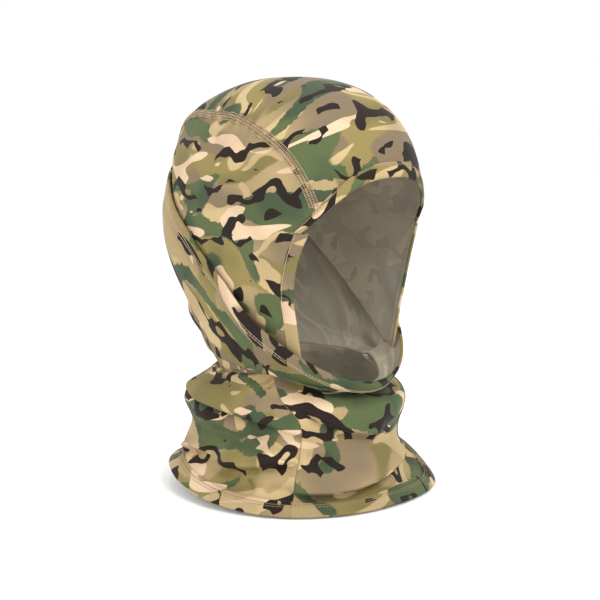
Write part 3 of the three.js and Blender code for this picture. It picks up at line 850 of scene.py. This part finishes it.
LADDER_START_ANGLE = 4.5
ROW_OFFSETS = (-1.95, -0.65, 0.65, 1.95)
ladder_over = np.linspace(LADDER_START_ANGLE, CROWN_END - 1, 400)
for name, mirror in (("crown_seam_right", 1), ("crown_seam_left", -1)):
    half = crown_half_width(ladder_over)
    rungs = [head_line(over_head(ladder_over, -half), 0.05, mirror)]
    needles = [head_line(over_head(ladder_over, -half + offset), 0.25, mirror) for offset in ROW_OFFSETS]
    sew(name, [
        (rungs, *LADDER_ROW, DARK_THREAD),
        (needles, *NEEDLE_ROW, PALE_THREAD),
    ], (name,))

u = np.linspace(-1, 1, 200)
brow_rows = []
for v in (0.12, 0.2):
    side = u * mix(BINDING_END, BINDING_END_INNER, v)
    brow_rows.append(head_line(over_head(brow_edge(side) - v * BINDING_ANGLE, side),
                               BINDING_BASE + BINDING_CROWN * crowned(v)))
brow_stitching = sew("brow_stitching", [(brow_rows, *NEEDLE_ROW, DARK_THREAD)], ("brow_stitching",))
z = np.linspace(CHEEK_TOP - 1, CHEEK_BOTTOM + 12, 120)
cheek_line = head_side(cheek_edge(z) + CHEEK_HEM - 1.0, z)
for name, mirror in (("cheek_stitching_right", 1), ("cheek_stitching_left", -1)):
    sew(name, [([head_line(cheek_line, 0.5, mirror)], *NEEDLE_ROW, PALE_THREAD)], (name,))

# %% [markdown]
# ## Gaiter, neck tube and skirt
# Mask, nape, neck and skirt are one length of cloth round the neck. Each column of the grid is a
# smooth line down through control rings: the hem loop, the back of the head, the crease of the neck,
# two bulges and the skirt. The skirt isn't level: it dips at the chest and rides up on the shoulders.

# %% The hem loop of the mask
HEM_TILT = math.radians(40.5)
LOOP_MIDDLE = 95.0
LOOP_HALF_WIDTH = 79.5
LOOP_BACK, LOOP_FRONT = 122.0, 121.0
LOOP_BACK_EXPONENT, LOOP_FRONT_EXPONENT = 2.5, 2.0
MASK_HEM = 10.0
DOWN_BEHIND = np.array([0, 0.12, -1.0])
DOWN_CHEEK = np.array([0, math.sin(HEM_TILT), -math.cos(HEM_TILT)])


def gaiter_point(angle, depth):
    """A point of the gaiter: its angle round the hem loop, 90 under the chin, and its depth below it."""
    sine, cosine = np.sin(np.radians(angle)), np.cos(np.radians(angle))
    front = sine > 0
    power = np.where(front, 2 / LOOP_FRONT_EXPONENT, 2 / LOOP_BACK_EXPONENT)
    reach = LOOP_MIDDLE + np.where(front, LOOP_FRONT, LOOP_BACK) * np.sign(sine) * np.abs(sine) ** power
    x = -LOOP_HALF_WIDTH * np.sign(cosine) * np.abs(cosine) ** power
    y = HINGE[1] - reach * math.cos(HEM_TILT)
    z = HINGE[2] - reach * math.sin(HEM_TILT)
    down = unit(mix(DOWN_BEHIND, DOWN_CHEEK, smooth(sine + 0.6)[..., None]))
    return np.stack([x, y, z], -1) + down * np.asarray(depth)[..., None]


# %% The neck rings and the skirt's edge
# name, height, half width, middle y, half length, how much of the skirt's rise it takes
NECK_RINGS = [
    ("first_swell", -220, 68, -3, 80, 0.0),
    ("first_bulge", -235, 72, 0, 85.5, 0.1),
    ("waist", -254, 68, 2, 82, 0.35),
    ("second_bulge", -272, 76, 4, 87, 0.7),
    ("turn", -286, 82, 4, 90, 1.0),
]
CREASE_RING = (-207, 56, -3, 62)
SEAM_TOP, SEAM_BOTTOM = -22.0, -43.0
CHIN_DROP = 12.0
# angle round the neck (-90 chest, 0 right shoulder, 90 back), reach from the middle, height
SKIRT_EDGE = np.array([
    (-90, 99, -298.5), (-60, 99.5, -299), (-40, 99.5, -299), (-18, 97.5, -297), (10, 95.5, -292),
    (35, 95, -286), (60, 96, -286), (90, 98, -290), (120, 95, -286), (150, 90, -279), (180, 86, -274),
    (200, 88, -277), (215, 96, -287), (228, 104, -297.5), (240, 103.5, -299), (255, 100.5, -299),
    (270, 99, -298.5),
], float)
LEVEL_EDGE = -299.0
SKIRT_WIDTH, SKIRT_FALL = 9.0, 6.0
# how closely the gaiter follows the head behind, and its gap there at the top, hem, and two rows below
HUG, HUG_GAPS = 0.9, (2.4, 2.1, 2.3, 2.6)
# slack cloth on the right shoulder and over the left of the chest: mm on each neck ring, angle, width
BULGES = [((7.0, 9.5, 5.0, 1.0, 0.0), 40.0, 38.0), ((6.0, 5.0, 1.0, 0.0, 0.0), -138.0, 36.0)]
# how much of the chin's drop each neck ring takes
DROP_SHARE = (0.45, 0.1, 0, 0, 0)
LOOP_LAG = 17.0
CREASE_RISE_BEHIND, CREASE_SAG, CREASE_AHEAD, CREASE_DEPTH = 4.0, 5.0, 2.0, 4.0
SLACK_AT = (30.0, 40.0)
LIP_OUT, LIP_OUT_AT_SIDE, LIP_RISE = 2.5, 5.0, 3.2
SWELL_WIDENING = 1.03
# y and z behind the head of the gaiter's swell, and of the row below it
SWELL_BEHIND, LOWER_BEHIND = (101.0, -112.0), (73.0, -172.0)


def ring(angle, height, width, middle, length):
    a = np.radians(angle)
    return np.stack([-width * np.cos(a), middle + length * np.sin(a), height + 0 * a], -1)


def seam_warp(angle, t):
    """Moves the side seams forward as they run down: angle is the column's own, t is 0 at the crease."""
    seam = mix(SEAM_TOP, SEAM_BOTTOM, smooth(np.asarray(t) * 2.5))
    behind = (angle >= SEAM_TOP) & (angle <= 180 - SEAM_TOP)
    back_angle = 90 - (90 - angle) / (90 - SEAM_TOP) * (90 - seam)
    front_angle = -90 + (angle + 90) / (SEAM_TOP + 90) * (seam + 90)
    return np.where(behind, back_angle, front_angle)


# %% One column after another
BACK_COLUMNS, FRONT_COLUMNS = 210, 140


def column_angles():
    """Column angles, from the right seam round the back to the left seam and on round the front."""
    behind = np.linspace(SEAM_TOP, 180 - SEAM_TOP, BACK_COLUMNS, endpoint=False)
    ahead = np.linspace(180 - SEAM_TOP, 360 + SEAM_TOP, FRONT_COLUMNS, endpoint=False)
    return np.concatenate([behind, ahead])


COLUMNS = column_angles()


def column_knots(angle):
    """Control points down each column."""
    a = np.where(angle > 180 - SEAM_TOP - 1e-6, angle - 360, angle)
    frontness = smooth((-np.sin(np.radians(a)) - 0.35) / 0.6)
    sideness = smooth((-np.sin(np.radians(a)) + 0.15) / 0.45) * smooth((a + 128) / 34.0)
    slack = np.exp(-((a - SLACK_AT[0]) / SLACK_AT[1]) ** 2)
    backness = np.maximum(np.sin(np.radians(a)), 0) ** 2
    loop_angle = -(a - LOOP_LAG * np.cos(np.radians(a)))
    top = gaiter_point(loop_angle, np.zeros_like(a))
    hem = gaiter_point(loop_angle, np.full_like(a, MASK_HEM))
    crease = ring(a, *CREASE_RING)
    crease[:, 2] += -CHIN_DROP * frontness + CREASE_RISE_BEHIND * backness - CREASE_SAG * slack
    crease[:, 1] += -CREASE_AHEAD * frontness
    out = unit(crease * [1, 1, 0])
    lip = crease + out * (LIP_OUT + LIP_OUT_AT_SIDE * sideness)[:, None] + np.array([0, 0, LIP_RISE])
    crease = crease - out * (CREASE_DEPTH * sideness)[:, None]
    swell = (hem + crease) / 2
    swell[:, 0] *= SWELL_WIDENING
    for axis, behind in (1, SWELL_BEHIND[0]), (2, SWELL_BEHIND[1]):
        swell[:, axis] = mix(swell[:, axis], behind, backness)
    upper = mix(hem, swell, 0.5)
    for row, spare in zip((top, hem, upper, swell), HUG_GAPS):
        hugged = snap_to_head(row - HEAD_CENTRE)
        hugged += head_normal(hugged) * spare
        row += (hugged - row) * (HUG * smooth(np.sin(np.radians(a)) * 2.2 + 0.4))[:, None]
    lower = mix(swell, lip, 0.62)
    for axis, behind in (1, LOWER_BEHIND[0]), (2, LOWER_BEHIND[1]):
        lower[:, axis] = mix(lower[:, axis], behind, backness)
    rings = []
    for k, (_, height, width, middle, length, share) in enumerate(NECK_RINGS):
        warped = seam_warp(a, (k + 1) / 6)
        rise = np.interp(np.mod(warped + 90, 360) - 90, SKIRT_EDGE[:, 0], SKIRT_EDGE[:, 2]) - LEVEL_EDGE
        row = ring(warped, height, width, middle, length)
        fuller = sum(bulge[k] * np.exp(-((warped - at) / wide) ** 2) for bulge, at, wide in BULGES)
        row += unit(row * [1, 1, 0]) * fuller[:, None]
        row[:, 2] += share * rise - CHIN_DROP * frontness * DROP_SHARE[k]
        rings.append(row)
    warped = seam_warp(a, 1.0)
    around = np.mod(warped + 90, 360) - 90
    reach, height = (read_table(SKIRT_EDGE, around, k) for k in (1, 2))
    inner = reach - SKIRT_WIDTH
    start = ring(warped, height + SKIRT_FALL, inner, 0, inner)
    edge = ring(warped, height, reach, 0, reach)
    return [top, hem, upper, swell, lower, lip, crease] + rings + [start, edge]


def through(knots, samples):
    """Catmull-Rom curve through arrays of knots; samples gives the number of rows in each span."""
    padded = [2 * knots[0] - knots[1], *knots, 2 * knots[-1] - knots[-2]]
    rows = []
    for i, count in enumerate(samples):
        a, b, c, d = padded[i:i + 4]
        last = i == len(samples) - 1
        for f in np.linspace(0, 1, count + (1 if last else 0), endpoint=last):
            rows.append(0.5 * (2 * b + (c - a) * f + (2 * a - 5 * b + 4 * c - d) * f**2
                               + (3 * b - a - 3 * c + d) * f**3))
    return np.array(rows)


HEM_ROWS, SKIRT_ROWS = 8, 10
GAITER_SPANS, NECK_SPANS = [12, 15, 18, 14, 5], [8, 14, 16, 16, 12, 8]
tube = through(column_knots(COLUMNS), [HEM_ROWS, *GAITER_SPANS, *NECK_SPANS, SKIRT_ROWS])
ROW_HEM = HEM_ROWS
ROW_CREASE = ROW_HEM + sum(GAITER_SPANS)
ROW_SKIRT = ROW_CREASE + sum(NECK_SPANS)
NECK_ROUND = 500.0
down = arc_lengths(tube, 0)
azimuth_round = np.degrees(np.arctan2(tube[..., 1], -tube[..., 0]))
azimuth_round = COLUMNS + np.mod(azimuth_round - COLUMNS + 180, 360) - 180
tube_pattern = np.stack([azimuth_round / 360 * NECK_ROUND, -down], -1)
print("gaiter and neck grid:", tube.shape, "hem, crease and skirt rows:", ROW_HEM, ROW_CREASE, ROW_SKIRT)


# %% [markdown]
# ## Letting the cloth settle
# The neck tube is cut longer than the neck, so it sags and buckles. A cloth simulation does that: the
# tube starts in its place, its rest shape is taller, and it is held at the hem, at the crease, at
# the side seams and at the skirt. It runs on a coarser grid. How far each point moved is then
# limited, smoothed and read back on the fine grid, so the result is the same on every run.

# %% Cloth simulation of the tube
SPARE_LENGTH = 1.13
SETTLE_FRAMES = 22
SETTLE_LIMIT = 5.0
HOLD_SEAM = 0.25
NARROW_BAND, WIDE_BAND = 12.0, 40.0


def settle(grid):
    """How far the cloth moves from its place on the grid, in mm."""
    rows = np.unique(np.append(np.arange(0, len(grid), 2), len(grid) - 1))
    columns = np.arange(0, grid.shape[1], 2)
    coarse = grid[np.ix_(rows, columns)]
    flat = np.zeros((len(rows), len(columns) + 1, 2))
    piece = grid_mesh("settling_cloth", coarse, flat, closed=True)
    piece.shape_key_add(name="worn")
    cut = piece.shape_key_add(name="cut_longer")
    middle = coarse[..., 2].mean()
    taller = coarse.copy()
    taller[..., 2] = middle + (taller[..., 2] - middle) * SPARE_LENGTH
    cut.data.foreach_set("co", (taller * MM).astype(np.float32).ravel())
    hold = np.zeros(coarse.shape[:2])
    hold[rows <= ROW_HEM + 2] = 1.0
    hold[np.abs(rows - ROW_CREASE) <= 1] = 1.0
    hold[rows >= ROW_SKIRT - 2] = 1.0
    seams = np.abs(columns[None, :] - np.array([[0], [BACK_COLUMNS]])).min(0) <= 1
    hold[:, seams] = np.maximum(hold[:, seams], HOLD_SEAM)
    group = piece.vertex_groups.new(name="held")
    for index, weight in enumerate(hold.ravel()):
        if weight:
            group.add([index], float(weight), "REPLACE")
    cloth = piece.modifiers.new("cloth", "CLOTH")
    cloth.settings.quality = 6
    cloth.settings.mass = 0.15
    cloth.settings.tension_stiffness = 12
    cloth.settings.compression_stiffness = 12
    cloth.settings.shear_stiffness = 4
    cloth.settings.bending_stiffness = 0.35
    cloth.settings.vertex_group_mass = "held"
    cloth.settings.rest_shape_key = cut
    cloth.collision_settings.use_collision = False
    cloth.collision_settings.use_self_collision = False
    cloth.point_cache.frame_start, cloth.point_cache.frame_end = 1, SETTLE_FRAMES
    scene = bpy.context.scene
    for moment in range(1, SETTLE_FRAMES + 1):
        scene.frame_set(moment)
    evaluated = piece.evaluated_get(bpy.context.evaluated_depsgraph_get())
    settled = np.empty(coarse.size, np.float32)
    evaluated.data.vertices.foreach_get("co", settled)
    scene.frame_set(1)
    bpy.data.objects.remove(piece)
    moved = settled.reshape(coarse.shape) / MM - coarse
    far = np.linalg.norm(moved, axis=-1, keepdims=True)
    moved *= SETTLE_LIMIT * np.tanh(far / SETTLE_LIMIT) / np.maximum(far, 1e-6)
    # back to the fine grid: first down the columns, then round the rows
    all_rows, round_columns = np.arange(len(grid)), np.append(columns, grid.shape[1])
    fine = np.stack([[np.interp(all_rows, rows, column) for column in moved[..., k].T] for k in range(3)], -1)
    fine = np.concatenate([fine, fine[:1]], 0)
    every = np.arange(grid.shape[1])
    spread = np.stack([[np.interp(every, round_columns, row) for row in fine[..., k].T]
                       for k in range(3)], -1)
    for _ in range(2):
        spread = (spread + np.roll(spread, 1, 1) + np.roll(spread, -1, 1)) / 3
        spread[1:-1] = (spread[1:-1] + spread[:-2] + spread[2:]) / 3
    return spread


def tube_normals(grid):
    along = np.gradient(grid, axis=0)
    around = (np.roll(grid, -1, 1) - np.roll(grid, 1, 1)) / 2
    n = unit(np.cross(around, along))
    return n if (n * grid * [1, 1, 0]).sum() > 0 else -n


# under the chin the gaiter is a narrow band, with no cloth to spare for waves
spare_room = smooth((down[ROW_CREASE] - down[ROW_HEM] - NARROW_BAND) / (WIDE_BAND - NARROW_BAND))
moved = settle(tube)
calm = smooth((ROW_SKIRT - np.arange(len(tube))) / 6.0) * smooth((np.arange(len(tube)) - ROW_HEM) / 6.0)
moved[ROW_HEM:ROW_CREASE] *= spare_room[:, None]
tube = tube + moved * calm[:, None, None]
print("cloth moved up to, mm:", np.linalg.norm(moved, axis=-1).max().round(2),
      "on average:", np.linalg.norm(moved, axis=-1).mean().round(2))

# %% [markdown]
# ## Folds that the wearer makes
# A simulation gives the small waves, but where the big folds lie depends on how the hood was pulled
# on. Each is a line on the tube, given by angle round the neck and height. An overhang stands out
# above its line and falls back under it, a valley and a ridge are the same on both sides.

# %% Folds of gaiter and neck
UNROLL_RADIUS = 80.0
STEP_REACH = 0.9
FOLD_POINTS = 60
CLEAR_AT_REST, CLEAR_LIFTED, KEPT_FREE_ROWS = 2.0, 1.4, 12
# below the hem line the cloth bends from the neck to the mask, between these distances in mm
FOLD_REACH = (50.0, 12.0)
# part, kind, height of the fold in mm, reach above, reach below, (angle, height) points
FOLDS = [
    ("gaiter", "overhang", 3.4, 9, 5, [(62, -168), (44, -177), (28, -187), (12, -194), (0, -197)]),
    ("gaiter", "ridge", 2.6, 4, 4, [(40, -194), (26, -199), (10, -201), (-6, -198)]),
    ("gaiter", "valley", 3.4, 4, 4, [(44, -200), (24, -204), (4, -205), (-12, -205), (-22, -206)]),
    ("gaiter", "valley", 2.3, 5, 5, [(70, -132), (50, -150), (34, -166), (20, -176)]),
    ("gaiter", "ridge", 2.1, 5, 5, [(130, -186), (155, -196), (178, -199), (200, -200)]),
    ("gaiter", "valley", 2.9, 5, 5, [(95, -160), (120, -172), (150, -185), (180, -192)]),
    ("neck", "ridge", 4.3, 3.5, 3.5, [(58, -211), (36, -213), (14, -214), (-2, -213), (-16, -210)]),
    ("neck", "overhang", 5.3, 10, 4, [(56, -222), (44, -228), (24, -233), (6, -235), (-16, -239),
                                      (-32, -242), (-43, -247), (-52, -250)]),
    ("neck", "ridge", 2.5, 5, 5, [(34, -246), (20, -247), (4, -247), (-12, -249)]),
    ("neck", "valley", 3.7, 5, 5, [(36, -254), (23, -253), (10, -253), (-12, -256), (-34, -257),
                                   (-46, -255)]),
    ("neck", "ridge", 3.7, 4, 4, [(-22, -266), (-32, -262), (-44, -260)]),
    ("neck", "overhang", 5.6, 9, 5, [(10, -273), (-2, -276), (-12, -275), (-24, -273), (-37, -269),
                                     (-49, -267)]),
    ("neck", "overhang", 6.2, 5, 4, [(46, -276), (36, -272), (28, -270), (18, -269), (10, -271)]),
    ("neck", "valley", 4.0, 4.5, 4.5, [(34, -277), (16, -276), (0, -280), (-12, -283), (-22, -287)]),
    ("neck", "valley", 4.7, 2.4, 2.4, [(-17, -281), (-20, -285), (-23, -290)]),
    ("neck", "valley", 2.5, 3, 3, [(-30, -284), (-36, -287), (-44, -286)]),
    ("neck", "overhang", 4.3, 12, 5, [(-48, -229), (-58, -237), (-68, -244), (-84, -250), (-98, -252)]),
    ("neck", "ridge", 2.2, 6, 6, [(-58, -222), (-74, -232), (-92, -238), (-112, -238)]),
    ("neck", "valley", 2.5, 3.5, 3.5, [(-50, -262), (-58, -266), (-66, -264)]),
    ("neck", "overhang", 8.5, 12, 4, [(-40, -287), (-50, -288.5), (-62, -289), (-76, -287.5), (-92, -283),
                                      (-108, -278), (-124, -271), (-138, -264)]),
    ("neck", "overhang", 4.7, 9, 5, [(70, -240), (92, -246), (116, -243), (140, -236), (165, -232)]),
    ("neck", "overhang", 5.0, 9, 5, [(96, -268), (122, -264), (150, -256), (178, -250), (200, -248)]),
]


def fold_height(points, kind, rise, above, below, line):
    """Height of one fold at each point of the tube."""
    angle = np.degrees(np.arctan2(points[..., 1], -points[..., 0]))
    line = np.array(line, float)
    middle = line[:, 0].mean()
    angle = np.mod(angle - middle + 180, 360) - 180
    at = np.stack([angle * np.pi / 180 * UNROLL_RADIUS, points[..., 2]], -1)
    line = np.stack([(line[:, 0] - middle) * np.pi / 180 * UNROLL_RADIUS, line[:, 1]], -1)
    knots, finer = np.arange(len(line)), np.linspace(0, len(line) - 1, FOLD_POINTS)
    line = np.stack([np.interp(finer, knots, line[:, k]) for k in (0, 1)], -1)
    best, side, share = np.full(at.shape[:-1], 1e9), np.zeros(at.shape[:-1]), np.zeros(at.shape[:-1])
    for i in range(len(line) - 1):
        way = line[i + 1] - line[i]
        t = np.clip(((at - line[i]) @ way) / (way @ way), 0, 1)
        gap = at - line[i] - t[..., None] * way
        distance = np.linalg.norm(gap, axis=-1)
        closer = distance < best
        best = np.where(closer, distance, best)
        side = np.where(closer, np.sign(gap[..., 1]) * distance, side)
        share = np.where(closer, (i + t) / (len(line) - 1), share)
    fade = smooth(np.minimum(share, 1 - share) / 0.2 + 0.02)
    up, under = np.maximum(side, 0), np.maximum(-side, 0)
    if kind == "overhang":
        edge = np.tanh(side / STEP_REACH)
        height = (1 + edge) / 2 * np.exp(-(up / above) ** 1.5)
        height -= (1 - edge) / 2 * np.exp(-(under / below) ** 1.5)
    else:
        height = np.exp(-(up / above) ** 2 - (under / below) ** 2) * (1 if kind == "ridge" else -1)
    return rise * fade * height


row_index = np.arange(len(tube))
in_part = {
    "gaiter": smooth((row_index - ROW_HEM - 1) / 8.0) * smooth((ROW_CREASE + 2 - row_index) / 4.0),
    "neck": smooth((row_index - ROW_CREASE + 2) / 4.0) * smooth((ROW_SKIRT - row_index) / 4.0),
}
heights = np.zeros(tube.shape[:2])
for part, kind, rise, above, below, line in FOLDS:
    room = spare_room if part == "gaiter" else 1.0
    heights += fold_height(tube, kind, rise, above, below, line) * in_part[part][:, None] * room
level_out = unit(tube * [1, 1, 0])
fold_way = unit(tube_normals(tube) + level_out)
tube = tube + fold_way * heights[..., None]
tube[1:-1] = (tube[1:-1] * 6 + tube[:-2] + tube[2:]) / 8

def shortfall(points, clearance):
    """How much further from the head's centre each point must lie to clear the hood."""
    way = unit(points - HEAD_CENTRE)
    under = snap_to_head(way)
    lean = np.maximum((head_normal(under) * way).sum(-1), 0.5)
    least = np.linalg.norm(under - HEAD_CENTRE, axis=-1) + (clearance + relief(under)) / lean
    return np.maximum(least - np.linalg.norm(points - HEAD_CENTRE, axis=-1), 0)


def lifted(points):
    """Where the cloth goes when the mask is pulled right up."""
    arm = points - HINGE
    share = np.clip((FOLD_REACH[0] - arm @ DOWN_CHEEK) / (FOLD_REACH[0] - FOLD_REACH[1]), 0, 1)
    turn = math.radians(LIFT["range_deg"][1]) * share
    y = arm[..., 1] * np.cos(turn) + arm[..., 2] * np.sin(turn)
    z = arm[..., 2] * np.cos(turn) - arm[..., 1] * np.sin(turn)
    return HINGE + np.stack([arm[..., 0], y, z], -1)


# behind and at the sides the gaiter lies over the hood, so it is kept clear of it with the mask down and up
over_hood = slice(0, ROW_CREASE - KEPT_FREE_ROWS)
behind = smooth(np.sin(np.radians(COLUMNS)) * 2.2 + 0.9)
fading = smooth((ROW_CREASE - KEPT_FREE_ROWS - row_index[over_hood]) / 8.0)[:, None]
for place, clearance in ((lifted, CLEAR_LIFTED), (np.array, CLEAR_AT_REST)) * 2:
    missing = shortfall(place(tube[over_hood]), clearance)
    missing *= behind * fading
    tube[over_hood] += unit(tube[over_hood] - HEAD_CENTRE) * missing[..., None]
    print("gaiter pushed out of the hood by up to, mm:", missing.max().round(1))
print("folds:", len(FOLDS), "from", heights.min().round(1), "to", heights.max().round(1), "mm")

# %% [markdown]
# ## Panels of gaiter, neck and skirt
# The tube is divided into its sewn pieces. The pieces near the mask are baked in place, and the
# bottom hems ride on the root body.

# %% Gaiter, neck and skirt pieces
right_seam, left_seam = 0, BACK_COLUMNS
back_columns = np.arange(right_seam, left_seam + 1)
front_columns = np.append(np.arange(left_seam, len(COLUMNS)), right_seam)
normals = tube_normals(tube)


def bends(piece):
    """Bakes the piece's transform into its mesh."""
    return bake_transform(piece)


def tube_piece(name, rows, columns, knit, thickness, replaces, lift=None):
    """A piece of the tube, and its flat size. columns is None for a piece that goes all round."""
    closed = columns is None
    picked = np.arange(len(COLUMNS)) if closed else columns
    grid, flat = tube[np.ix_(rows, picked)], tube_pattern[np.ix_(rows, picked)]
    if rows[0] >= ROW_CREASE:
        # the neck is cut on its own, so its print starts anew at the crease
        flat[..., 1] -= tube_pattern[ROW_CREASE, picked, 1]
    if closed:
        flat = np.concatenate([flat, flat[:, :1] + [NECK_ROUND, 0]], 1)
    elif columns[-1] == right_seam:
        flat[:, -1, 0] += NECK_ROUND
    if lift is not None:
        grid = grid + normals[np.ix_(rows, picked)] * lift[:, None, None]
    piece = grid_mesh(name + "_knit", grid, flat, closed=closed)
    joined = rides if name.startswith("bottom") else bends
    finish_cloth(piece, knit, REVERSE, thickness, joined, replaces, offset=0.0)
    return piece, cut_size(grid, flat[:, :grid.shape[1]])


GAITER_KNIT = printed_knit("printed_polyester_knit_gaiter", (0.05, 0.63))
BACK_KNIT = printed_knit("printed_polyester_knit_neck_back", (1.91, 0.33))
FRONT_KNIT = printed_knit("printed_polyester_knit_neck_front", (2.45, 0.57))
HEM_THICKNESS, HEM_PLUMP, HEM_BASE, HEM_ROLL = 1.8, 0.5, 0.2, 0.7
hem_rows = np.arange(0, ROW_HEM + 1)
gaiter_rows = np.arange(ROW_HEM, ROW_CREASE + 1)
neck_rows = np.arange(ROW_CREASE, ROW_SKIRT + 1)
skirt_rows = np.arange(ROW_SKIRT, len(tube))
hem_share = np.linspace(0, 1, len(hem_rows))
plump = HEM_BASE + HEM_PLUMP * crowned(hem_share) - HEM_ROLL * smooth((0.2 - hem_share) / 0.2)
skirt_share = np.linspace(0, 1, len(skirt_rows))
skirt_plump = HEM_PLUMP * crowned(skirt_share)
mask_hem, _ = tube_piece("mask_hem", hem_rows, None, GAITER_KNIT, HEM_THICKNESS,
                         ("mask_hem", "nape_hem"), plump)
gaiter, gaiter_cut = tube_piece("gaiter_panel", gaiter_rows, None, GAITER_KNIT, CLOTH,
                                ("mask_panel", "nape_panel"))
neck_back, back_cut = tube_piece("neck_back_panel", neck_rows, back_columns, BACK_KNIT, CLOTH,
                                 ("neck_back_panel",))
neck_front, front_cut = tube_piece("neck_front_panel", neck_rows, front_columns, FRONT_KNIT, CLOTH,
                                   ("neck_front_panel",))
hem_back, _ = tube_piece("bottom_hem_back", skirt_rows, back_columns, BACK_KNIT, HEM_THICKNESS,
                         ("bottom_hem_back",), skirt_plump)
hem_front, _ = tube_piece("bottom_hem_front", skirt_rows, front_columns, FRONT_KNIT, HEM_THICKNESS,
                          ("bottom_hem_front",), skirt_plump)
print("faces of gaiter, neck back and front:",
      [len(piece.data.polygons) for piece in (gaiter, neck_back, neck_front)])


# %% Stitching of gaiter, neck and skirt
def tube_line(row, lift):
    """A guide line all round the tube, at a row that may lie between two rows of the grid."""
    low, part = int(row), row - int(row)
    line, way = (mix(grid[low], grid[min(low + 1, len(grid) - 1)], part) for grid in (tube, normals))
    line = line + way * lift
    return np.vstack([line, line[:1]]), np.vstack([way, way[:1]])


def seam_line(column, rows, lift):
    return tube[rows, column] + normals[rows, column] * lift, normals[rows, column]


on_hem = HEM_THICKNESS / 2 + 0.05
mask_rows = [tube_line(ROW_HEM * share, on_hem + HEM_BASE + HEM_PLUMP * crowned(share))
             for share in (0.74, 0.93)]
sew("mask_stitching", [(mask_rows, *NEEDLE_ROW, PALE_THREAD)], ("mask_stitching", "nape_stitching"),
    bends_with_mask=True)
skirt_lines = [tube_line(ROW_SKIRT + SKIRT_ROWS * share, on_hem + HEM_PLUMP * crowned(share))
               for share in (0.08, 0.26)]
sew("bottom_stitching", [(skirt_lines, *NEEDLE_ROW, DARK_THREAD)], ("bottom_stitching",))
seam_rows = np.arange(ROW_CREASE + 1, ROW_SKIRT)
for name, column in (("neck_seam_right", right_seam), ("neck_seam_left", left_seam)):
    line = [seam_line(column, seam_rows, CLOTH / 2 + 0.1)]
    sew(name, [(line, *SIDE_SEAM_ROW, DARK_THREAD)], (name,), bends_with_mask=True)

# %% [markdown]
# ## Flat sizes of the cloth
# Each panel is a sheet that was cut flat. Its flat size comes from its own pattern, made smaller by
# the eight percent that such a knit stretches when it is worn.

# %% Sheets
print("sheets:", 6)
